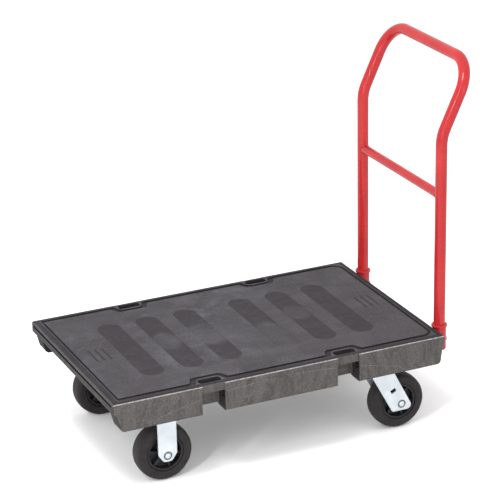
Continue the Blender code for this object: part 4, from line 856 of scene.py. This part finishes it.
def arc_path(corners):
    """Points along a line with rounded corners. Each corner is (point, radius, steps)."""
    points = []
    for index, (here, radius, steps) in enumerate(corners):
        here = Vector(here)
        if radius == 0:
            points.append(here)
            continue
        before = (Vector(corners[index - 1][0]) - here).normalized()
        after = (Vector(corners[index + 1][0]) - here).normalized()
        half = before.angle(after) / 2
        middle = here + (before + after).normalized() * radius / math.sin(half)
        start = here + before * radius / math.tan(half) - middle
        axis = before.cross(after)
        for step in range(steps + 1):
            points.append(middle + Matrix.Rotation(-(math.pi - 2 * half) * step / steps, 3, axis) @ start)
    return points


def swept_mesh(name, points, radius, resolution, cyclic=False, swell=None):
    """A round bar along points."""
    curve = bpy.data.curves.new(name, "CURVE")
    curve.dimensions = "3D"
    curve.bevel_depth = radius
    curve.bevel_resolution = resolution
    return curve_mesh(curve, [points], cyclic, swell)


def weld_bead(name, sign):
    """A small rippled bead where the crossbar meets an upright."""
    points, swell = [], []
    lift = 0.0004
    for k in range(WELD_STEPS):
        angle = 2 * math.pi * k / WELD_STEPS
        x, z = (BAR_RADIUS + lift) * math.cos(angle), (BAR_RADIUS + lift) * math.sin(angle)
        y = HANDLE_Y - math.sqrt(TUBE_RADIUS ** 2 - min(abs(x), BAR_RADIUS) ** 2) - lift
        points.append(BAR + Vector((x, sign * y - BAR.y, z)))
        swell.append(1.0 + 0.16 * math.sin(angle * 18) + 0.10 * math.sin(angle * 3 + sign))
    mesh = swept_mesh(name, points, 0.0019, 3, True, swell)
    piece(name, mesh, "red_paint", "truck", smooth=60.0)


def tube_mesh():
    y = HANDLE_Y
    side = [((HANDLE_X, y, SOCKET_LOW.z + 0.0075), 0, 0), ((HANDLE_X, y, HANDLE_KNEE), KNEE_RADIUS, 14),
            ((HANDLE_TOP.x, y, HANDLE_TOP.z), CORNER_RADIUS, 26)]
    other = [((px, -py, pz), radius, steps) for (px, py, pz), radius, steps in reversed(side)]
    return swept_mesh("push_handle", arc_path(side + other), TUBE_RADIUS, 10)


def socket_profile():
    """Outer side of a socket from its drain hole up, then down the bore. Radius and height, closed."""
    low, high = SOCKET_LOW.z, SOCKET_HIGH.z
    collar, bore, drain, base = (SOCKET_HIGH.y - SOCKET_LOW.y) / 2, TUBE_RADIUS + GAP, 0.005, 0.004
    bottom = [(SOCKET_OUTER - base + base * math.sin(a), low + base - base * math.cos(a))
              for a in (math.pi / 2 * k / 6 for k in range(7))]
    return [(drain, low), *bottom, *from_corner(SOCKET_OUTER, high, (0, -8.5), (0.2, -7.5)),
            *from_corner(collar, high, (-0.1, -6.2), (0, -5.4), (0, -2.2), (-0.6, -0.8), (-2, 0)),
            *from_corner(bore, high, (0.8, 0), (0, -0.8)), (bore, low + 0.005), (drain, low + 0.005)]


def socket_mesh(sign):
    """One handle leg's socket with its bolted tongue, in the row frame."""
    ring = turned_mesh("socket_ring", socket_profile(), 64)
    ring.transform(Matrix.Translation((HANDLE_X, sign * HANDLE_Y, 0)))
    top, y = DECK_UNDERSIDE - GAP, sign * HANDLE_Y
    front = HANDLE_X - TUBE_RADIUS - 0.001
    outline = rectangle(SOCKET_LOW.x, front, y - TONGUE_HALF, y + TONGUE_HALF, 0.008, 6)
    tongue = softened(plate_mesh("socket_tongue", [outline], top - 0.005, top), 0.0008)
    return combined("handle_socket", ring, joins=[tongue])


def hex_bolt_mesh(name, shank, reach, head, height):
    """Hexagon head with a washer face and a chamfered crown. Its underside lies at the origin, shank up."""
    prism = rod_mesh(name, [((0, 0, -height), (0, 0, -0.0006))], head, 6)
    crown = turned_mesh("crown", [(0, -height), (head * 0.80, -height), (head * 0.93, -height + 0.0006),
                                  (head * 1.01, -height + 0.0016), (head * 1.01, 0.001), (0, 0.001)], 48)
    washer = rod_mesh("washer", [((0, 0, -0.0012), (0, 0, 0))], head * 0.90, 48)
    stem = rod_mesh("stem", [((0, 0, -height / 2), (0, 0, reach))], shank, 32)
    return combined(name, prism, joins=[washer, stem], keeps=[crown])


def retainer_mesh():
    """Round-headed screw with a hexagon recess, head toward +Z."""
    reach, shoulder, neck = 0.019, 0.0193, 0.0040
    dome = [(0.0072 * math.cos(a), shoulder + 0.0008 + 0.0040 * math.sin(a))
            for a in (math.pi / 2 * k / 8 for k in range(8))]
    profile = [(0, -reach), (neck, -reach), (neck, shoulder), (0.0066, shoulder), *dome,
               (0, shoulder + 0.0048)]
    screw = turned_mesh("retainer", profile, 40)
    recess = rod_mesh("recess", [((0, 0, shoulder + 0.0022), (0, 0, shoulder + PAST))], 0.0028, 6)
    return combined("handle_retainer", screw, [recess])


def make_handle():
    tube = piece("push_handle", tube_mesh(), "red_paint", "truck", smooth=60.0, stands_for=["handle_tube"])
    wall = tube.modifiers.new("wall", "SOLIDIFY")
    wall.thickness, wall.offset = TUBE_WALL, -1
    tube.modifiers.move(1, 0)

    inner, end = BAR_RADIUS - TUBE_WALL, HANDLE_Y - TUBE_RADIUS * 0.5
    profile = [(inner, -end), (BAR_RADIUS, -end), (BAR_RADIUS, end), (inner, end)]
    rods = [((0, y, -3 * PAST), (0, y, 3 * PAST)) for y in (HANDLE_Y, -HANDLE_Y)]
    cope = rod_mesh("cope", rods, TUBE_RADIUS - 0.0004, 48)
    bar = combined("crossbar", turned_mesh("crossbar", profile, 48, "Y"), [cope])
    piece("crossbar", bar, "red_paint", "truck", BAR, stands_for=["handle_crossbar"])
    screw, height = retainer_mesh(), 0.0055
    tongue_bolt = hex_bolt_mesh("socket_bolt", BOLT_SHANK, 0.020, 0.0085, height)
    for side, sign in (("left", 1), ("right", -1)):
        weld_bead(f"crossbar_weld_{side}", sign)
        node = f"handle_socket_{side}"
        piece(node, socket_mesh(sign), "red_paint", "truck", stands_for=[node])
        node = f"handle_retainer_{side}"
        place, turn = (HANDLE_X, sign * HANDLE_Y, RETAINER_HEIGHT), (0, math.pi / 2, 0)
        piece(f"{node}_screw", screw, "zinc_steel", "truck", place, stands_for=[node], turn=turn)
        for node in (f"socket_bolt_{side}_inner", f"socket_bolt_{side}_outer"):
            place = under_head(node, height)
            piece(f"{node}_hex", tongue_bolt, "zinc_steel", "truck", place, stands_for=[node])


# ---------------------------------------------------------------- castors
WHEEL_RADIUS = centre("tyre_fixed_left").z
TYRE_HALF = 0.0265
TYRE_INNER = 0.0505
FORK_GAP_HALF = 0.0350
FORK_OUTER = 0.0400
PLATE_LENGTH = 0.114
PLATE_WIDTH = 0.102
PLATE_THICKNESS = 0.005
BOLT_HALF_X = 0.046
BOLT_HALF_Y = 0.0335
CROWN_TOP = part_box("fork_swivel_left")[1].z
CROWN_THICKNESS = 0.005
CROWN_RADIUS = 0.034
SWIVEL_TRAIL = 0.055
SLANT = math.radians(27.3)
LEG_WIDTH = 0.0665
LEG_FOOT = 0.0640
LEG_FRONT = 0.0360
LEG_TIP = 0.0185
WHEEL_STEPS = 96
AXLE_HOLE = 0.0065
PIN_HOLE = 0.0092
PLATE_HOLE = 0.0053
DIMPLE_DEPTH = 0.0030
FORK_EDGE = 0.0009
CASTOR_SMOOTH = 40.0
BOLT_HEAD_HEIGHT = 0.0062


def tyre_mesh():
    """Solid tyre: flat sidewalls, a moulded lip at the hub, big shoulders and a slightly crowned tread."""
    shoulder, crown, edge = 0.0130, 0.0012, -TYRE_HALF
    middle, flat = WHEEL_RADIUS - crown - shoulder, TYRE_HALF - shoulder
    side = from_corner(TYRE_INNER, edge, (0, 4), (0.6, 2.2), (2, 0.8), (4, 0), (7.8, 0), (8.2, 0.4),
                       (8.8, 0.4), (9.2, 0))
    side += [(middle + shoulder * math.sin(a), edge + shoulder * (1 - math.cos(a)))
             for a in (math.pi / 2 * k / 12 for k in range(13))]
    side += [(WHEEL_RADIUS - crown * (1 - share) ** 2, -flat * (1 - share)) for share in (0.25, 0.5, 0.75)]
    side += [(WHEEL_RADIUS, -0.0009), (WHEEL_RADIUS, 0.0)]
    return turned_mesh("tyre", side + [(r, -z) for r, z in reversed(side[:-1])], WHEEL_STEPS, "Y")


def hub_mesh():
    """Moulded core: boss, thin web, spokes that stand out from it, and a rim with a rounded lip."""
    rim, bore, boss, end = TYRE_INNER - GAP, 0.0098, 0.0185, -0.0335
    inside, rim_end, web, spokes = rim - 0.0060, -0.0225, -0.0035, 6
    half = [*from_corner(bore, end, (0, 0.8), (0.8, 0)),
            *from_corner(boss, end, (-1.2, 0), (-0.3, 0.6), (0, 1.6)),
            *from_corner(boss, web, (1, -3), (1.6, -1.2), (3.2, 0)),
            *from_corner(inside, web, (-3.4, 0), (-1.2, -1), (-0.4, -3)),
            *from_corner(inside, rim_end, (0, 1), (1, 0)), *from_corner(rim, rim_end, (-0.8, 0), (0, 0.8))]
    disc = turned_mesh("hub_disc", half + [(r, -z) for r, z in reversed(half)], WHEEL_STEPS, "Y")
    bm = bmesh.new()
    low, high = boss - 0.002, inside + 0.002
    for k in range(spokes):
        place = Matrix.Rotation(2 * math.pi * k / spokes + math.radians(12), 4, "Y")
        place = place @ Matrix.Translation(((low + high) / 2, 0, 0))
        place = place @ Matrix.Diagonal((high - low, 0.033, 0.0070, 1))
        made = bmesh.ops.create_cube(bm, size=1, matrix=place)["verts"]
        bevel(bm, list(dict.fromkeys(e for v in made for e in v.link_edges)), 0.0016, 3)
    return combined("wheel_hub", disc, joins=[mesh_from(bm, "hub_spokes")])


def axle_bolt_mesh():
    """Axle bolt along Y: a low round head toward +Y with a small centre mark, and a plain end toward -Y."""
    face, tail = FORK_OUTER - DIMPLE_DEPTH, -FORK_OUTER - 0.0135
    profile = from_corner(0, face, (0, 5.6), (1.2, 5.6), (1.6, 6.4), (4.8, 6.2), (6.6, 5.5), (7.7, 4.2),
                          (8.1, 2.6))
    profile += from_corner(0, face + GAP, (8.1, 0), (6.2, 0))
    profile += from_corner(0, tail, (6.2, 1), (5.6, 0), (0, 0))
    return turned_mesh("axle_bolt", [(r, -y) for r, y in profile], 48, "Y")


def axle_nut_mesh():
    start, thick, size = -FORK_OUTER - GAP, 0.0100, 0.0110
    body = rod_mesh("axle_nut", [((0, start, 0), (0, start - thick, 0))], size, 6)
    crown = [(0, -0.001), (size * 0.94, -0.001), (size * 1.01, 0.0012), (size * 1.01, thick - 0.0016),
             (size * 0.86, thick), (0, thick)]
    lens = turned_mesh("nut_crown", [(r, -start + z) for r, z in crown], 48, "Y")
    hole = rod_mesh("nut_hole", [((0, start + PAST, 0), (0, start - thick - PAST, 0))], AXLE_HOLE, 32)
    return combined("axle_nut", body, [hole], keeps=[lens])


def bushing_mesh():
    half, outer = FORK_GAP_HALF - GAP, 0.0095
    profile = [(AXLE_HOLE, -half), *from_corner(outer, -half, (-0.4, 0), (0, 0.4)),
               *from_corner(outer, half, (0, -0.4), (-0.4, 0)), (AXLE_HOLE, half)]
    return turned_mesh("bushing", profile, 40, "Y")


def dimple_tag(face):
    """Marks the dimple round the axle bolt's head for painted shade."""
    x, y, z = face.center
    return [1.0 if math.hypot(x, z) < 0.0125 and 0.0002 < FORK_OUTER - y < 0.0045 else 0.0]


def axle_cuts():
    """The axle's hole through both legs, and the dimple round the bolt's head."""
    face, past = FORK_OUTER, FORK_OUTER + PAST
    hole = rod_mesh("axle_hole", [((0, -past, 0), (0, past, 0))], AXLE_HOLE, 40)
    floor, edge = face - DIMPLE_DEPTH, 0.0114
    dish = [(0, floor), *from_corner(edge, floor, (-1, 0), (-0.3, 0.4), (0, 1.1)),
            *from_corner(edge, face, (0, -0.4), (0.6, 0)), (edge + 0.0006, past), (0, past)]
    cutter = turned_mesh("axle_dimple", [(r, -y) for r, y in dish], 64, "Y")
    return [hole, cutter]


def bead_line(name, start, end, radius, phase):
    """A straight rippled weld bead."""
    start, end = Vector(start), Vector(end)
    steps = 40
    points = [start.lerp(end, k / steps) for k in range(steps + 1)]
    swell = [(1.0 + 0.14 * math.sin(2.2 * k + phase)) * (0.35 if k in (0, steps) else 1.0)
             for k in range(steps + 1)]
    return swept_mesh(name, points, radius, 3, False, swell)


def plate_outline():
    return rectangle(-PLATE_LENGTH / 2, PLATE_LENGTH / 2, -PLATE_WIDTH / 2, PLATE_WIDTH / 2, 0.010, 8)


def plate_holes(low, high):
    rods = [((x, y, low - PAST), (x, y, high + PAST))
            for x in (-BOLT_HALF_X, BOLT_HALF_X) for y in (-BOLT_HALF_Y, BOLT_HALF_Y)]
    return rod_mesh("plate_holes", rods, PLATE_HOLE, 32)


def pin_hole(x, low, high):
    return rod_mesh("pin_hole", [((x, 0, low - PAST), (x, 0, high + PAST))], PIN_HOLE, 32)


def fork_mesh(base, outline, hole, last=()):
    """A fork from its plate or crown and its legs' outline, with softened edges and the axle's cuts."""
    shape = softened(combined("fork", base, [hole], legs(outline)), FORK_EDGE)
    shape = combined("fork", shape, [*last, *axle_cuts()])
    tag_faces(shape, ["shade"], dimple_tag)
    return shape


def legs(outline):
    return [plate_mesh("fork_leg", [outline], low, high, upright=True)
            for low, high in ((FORK_GAP_HALF, FORK_OUTER), (-FORK_OUTER, -FORK_GAP_HALF))]


def fixed_fork_mesh():
    """Mounting plate with two straight legs that end in a blunt point. The axle is at the origin."""
    top, side = CASTOR_TOP - WHEEL_RADIUS, 0.02625
    edge = [(0.0115, -0.0170, 0.012, 12), (side, 0.004, 0.012, 8), (side, top - PLATE_THICKNESS / 2, 0, 0)]
    outline = rounded([(-x, z, radius, steps) for x, z, radius, steps in reversed(edge)] + edge)
    plate = plate_mesh("fixed_fork", [plate_outline()], top - PLATE_THICKNESS, top)
    return fork_mesh(plate, outline, plate_holes(top - PLATE_THICKNESS, top))


def swivel_leg_outline():
    """The leg leans back from the swivel axis down to the axle."""
    top, bottom = CROWN_TOP - CROWN_THICKNESS / 2 - WHEEL_RADIUS, -LEG_TIP
    high_front = LEG_FRONT - math.tan(SLANT) * (top - bottom)
    return rounded([(LEG_FRONT - LEG_FOOT, bottom, 0.006, 8), (LEG_FRONT, bottom, 0.012, 12),
                    (high_front, top, 0, 0), (high_front - LEG_WIDTH, top, 0, 0)])


def swivel_fork_mesh():
    """Crown and two slanted legs, each with a small window. The axle is at the origin."""
    low, high = CROWN_TOP - CROWN_THICKNESS - WHEEL_RADIUS, CROWN_TOP - WHEEL_RADIUS
    back, front = -SWIVEL_TRAIL - CROWN_RADIUS, -SWIVEL_TRAIL + CROWN_RADIUS
    crown = plate_mesh("swivel_fork", [rectangle(back, front, -FORK_OUTER, FORK_OUTER, 0.008, 6)], low, high)
    lift = 0.0435
    middle = Vector((LEG_FRONT - LEG_WIDTH / 2 - math.tan(SLANT) * (lift + LEG_TIP) + 0.0035, lift))
    turn = Matrix.Rotation(SLANT, 2)
    window = [middle + turn @ corner for corner in rectangle(-0.0080, 0.0080, -0.0056, 0.0056, 0.0012, 4)]
    cut = plate_mesh("fork_window", [window], -FORK_OUTER - PAST, FORK_OUTER + PAST, upright=True)
    return fork_mesh(crown, swivel_leg_outline(), pin_hole(-SWIVEL_TRAIL, low, high), [cut])


def mirrored(mesh):
    made = mesh.copy()

    def work(bm):
        bmesh.ops.scale(bm, verts=bm.verts, vec=(1, -1, 1))
        bmesh.ops.reverse_faces(bm, faces=bm.faces)
    return edited(made, work)


def top_plate_mesh():
    low, high = CASTOR_TOP - PLATE_THICKNESS, CASTOR_TOP
    plate = plate_mesh("swivel_plate", [plate_outline()], low, high)
    return softened(combined("swivel_plate", plate, [plate_holes(low, high), pin_hole(0, low, high)]), 0.0007)


def ball_race_mesh():
    """Two pressed cups with the bearing gap between them."""
    low, high = CROWN_TOP + GAP, CASTOR_TOP - PLATE_THICKNESS - GAP
    middle, radius, inner = (low + high) / 2, 0.037, 0.020
    profile = [(inner, low), *from_corner(radius, low, (-1.2, 0), (-0.2, 0.8), (0, 2)),
               *from_corner(radius, middle, (-0.6, -1.2), (-2.6, -0.6), (-2.6, 0.4), (0.6, 1), (1, 2)),
               *from_corner(radius, high, (1, -1.2), (0.2, 0)), (inner, high)]
    return turned_mesh("ball_race", profile, 72)


def kingpin_mesh():
    top, under = CASTOR_TOP - 0.0006, CROWN_TOP - CROWN_THICKNESS - GAP
    pin, nut = 0.0085, 0.0125
    profile = [(0, top), *from_corner(pin, top, (-0.5, 0), (0, -0.5)), (pin, under),
               *from_corner(nut, under, (-0.6, 0), (0, -0.8), (0, -6.8), (-1, -7.7)),
               *from_corner(pin, under, (-1, -7.7), (-1, -9.2), (-2, -9.7)), (0, under - 0.0097)]
    return turned_mesh("kingpin", profile, 48)


def make_castors():
    tyre, hub, bushing, bolt, nut = tyre_mesh(), hub_mesh(), bushing_mesh(), axle_bolt_mesh(), axle_nut_mesh()
    fixed, swivel = fixed_fork_mesh(), swivel_fork_mesh()
    plate, race, kingpin = top_plate_mesh(), ball_race_mesh(), kingpin_mesh()
    hexagon = hex_bolt_mesh("castor_bolt", BOLT_SHANK, 0.030, 0.0092, BOLT_HEAD_HEIGHT)
    for owner in WHEELS:
        sign = 1 if owner.endswith("left") else -1
        turns = owner.startswith("swivel")
        holder, wheel = owner if turns else "truck", f"wheel_{owner}"
        axle = centre(f"tyre_{owner}")
        still, half_turn = (0, 0, 0), 0 if sign > 0 else math.pi
        rows = [("wheel_tyre", tyre, "tyre_rubber", wheel, axle, "tyre", still),
                ("wheel_hub", hub, "hub_plastic", wheel, axle, "hub", still),
                ("bushing", bushing, "bushing_steel", holder, axle, "axle_bushing", still),
                ("bolt", bolt, "zinc_steel", holder, axle, "axle_bolt", (half_turn, 0, 0)),
                ("nut", nut, "zinc_steel", holder, axle, "axle_nut", (half_turn, 0, 0))]
        if turns:
            pivot = (*centre(f"top_plate_{owner}").xy, 0)
            shape = swivel if sign > 0 else mirrored(swivel)
            rows += [("castor_fork", shape, "zinc_steel", owner, axle, "fork", still),
                     ("castor_plate", plate, "zinc_steel", "truck", pivot, "top_plate", still),
                     ("castor_race", race, "zinc_steel", owner, pivot, "ball_race", still),
                     ("castor_pin", kingpin, "zinc_steel", "truck", pivot, "kingpin", still)]
        else:
            rows.append(("castor_fork", fixed, "zinc_steel", "truck", axle, "fork", (0, 0, half_turn)))
        for kind, mesh, slot, body, place, node, turn in rows:
            piece(f"{kind}_{owner}", mesh, slot, body, place, CASTOR_SMOOTH, [f"{node}_{owner}"], turn)
        for k, side in enumerate(() if turns else (1, -1)):
            y, z = axle.y + side * (FORK_OUTER + 0.0006), CASTOR_TOP - PLATE_THICKNESS
            bead = bead_line("bead", (axle.x - 0.025, y, z), (axle.x + 0.025, y, z), 0.0022, k)
            piece(f"fork_weld_{owner}_{k + 1}", bead, "zinc_steel", "truck", smooth=60.0)
        for k in range(1, 5):
            node = f"castor_bolt_{owner}_{k}"
            turn = (0, 0, math.radians(17 * k + 40 * sign))
            place = under_head(node, BOLT_HEAD_HEIGHT)
            piece(f"hex_{owner}_{k}", hexagon, "zinc_steel", "truck", place, 30.0, [node], turn)


# ---------------------------------------------------------------- floor, light and camera
FLOOR_REACH = 40.0
WORLD_STRENGTH = 1.30
SENSOR_WIDTH = 36.0
LENS = 160.44
CAMERA_ANGLES = (-24.466, 21.416, -1.159)         # azimuth, elevation and roll in degrees
CAMERA_DISTANCE = 6.2381
CAMERA_TARGET = Vector((0.1439 + DECK_X, 0.2122, DECK_TOP + 0.1265))


def make_stage():
    far = FLOOR_REACH
    sheet = bpy.data.meshes.new("floor")
    sheet.from_pydata([(-far, -far, 0), (far, -far, 0), (far, far, 0), (-far, far, 0)], [], [(0, 1, 2, 3)])
    sheet.materials.append(floor_paper())
    linked("floor", sheet)

    world = bpy.data.worlds.new("studio")
    world.use_nodes = True
    backdrop = world.node_tree.nodes["Background"].inputs
    backdrop["Color"].default_value = (1.0, 1.0, 1.0, 1.0)
    backdrop["Strength"].default_value = WORLD_STRENGTH
    bpy.context.scene.world = world


def soft_light(name, place, aim, size, watts):
    lamp = bpy.data.lights.new(name, "AREA")
    lamp.shape = "RECTANGLE"
    lamp.size, lamp.size_y = size
    lamp.energy = watts
    light = linked(name, lamp)
    light.location = place
    light.rotation_euler = (Vector(aim) - Vector(place)).to_track_quat("-Z", "Y").to_euler()


def make_camera():
    """Looks down on the truck from its tail end's right side, through a long lens."""
    azimuth, elevation, roll = (math.radians(angle) for angle in CAMERA_ANGLES)
    level = math.cos(elevation)
    back = Vector((math.sin(azimuth) * level, -math.cos(azimuth) * level, math.sin(elevation)))
    right = Vector((math.cos(azimuth), math.sin(azimuth), 0))
    up = back.cross(right)
    turned_right = right * math.cos(roll) + up * math.sin(roll)
    turned_up = up * math.cos(roll) - right * math.sin(roll)
    lens = bpy.data.cameras.new("camera")
    lens.lens, lens.sensor_width = LENS, SENSOR_WIDTH
    camera = linked("camera", lens)
    turn = Matrix((turned_right, turned_up, back)).transposed().to_4x4()
    camera.matrix_world = Matrix.Translation(CAMERA_TARGET + back * CAMERA_DISTANCE) @ turn
    bpy.context.scene.camera = camera


make_deck()
make_handle()
make_castors()
make_stage()
soft_light("overhead", (-1.35, -1.15, 3.6), (0, 0, 0), (0.9, 0.9), 71.0)
soft_light("front_left", (-2.4, -3.4, 0.9), (0, 0, 0.15), (2.2, 1.2), 20.0)
soft_light("front_right", (1.6, -3.8, 0.9), (0.1, 0, 0.15), (2.2, 1.2), 20.0)
soft_light("strip", (-1.9, -1.6, 1.8), (0.5, 0, 0.95), (0.07, 1.3), 34.0)
make_camera()
bpy.context.scene.view_settings.view_transform = "Standard"
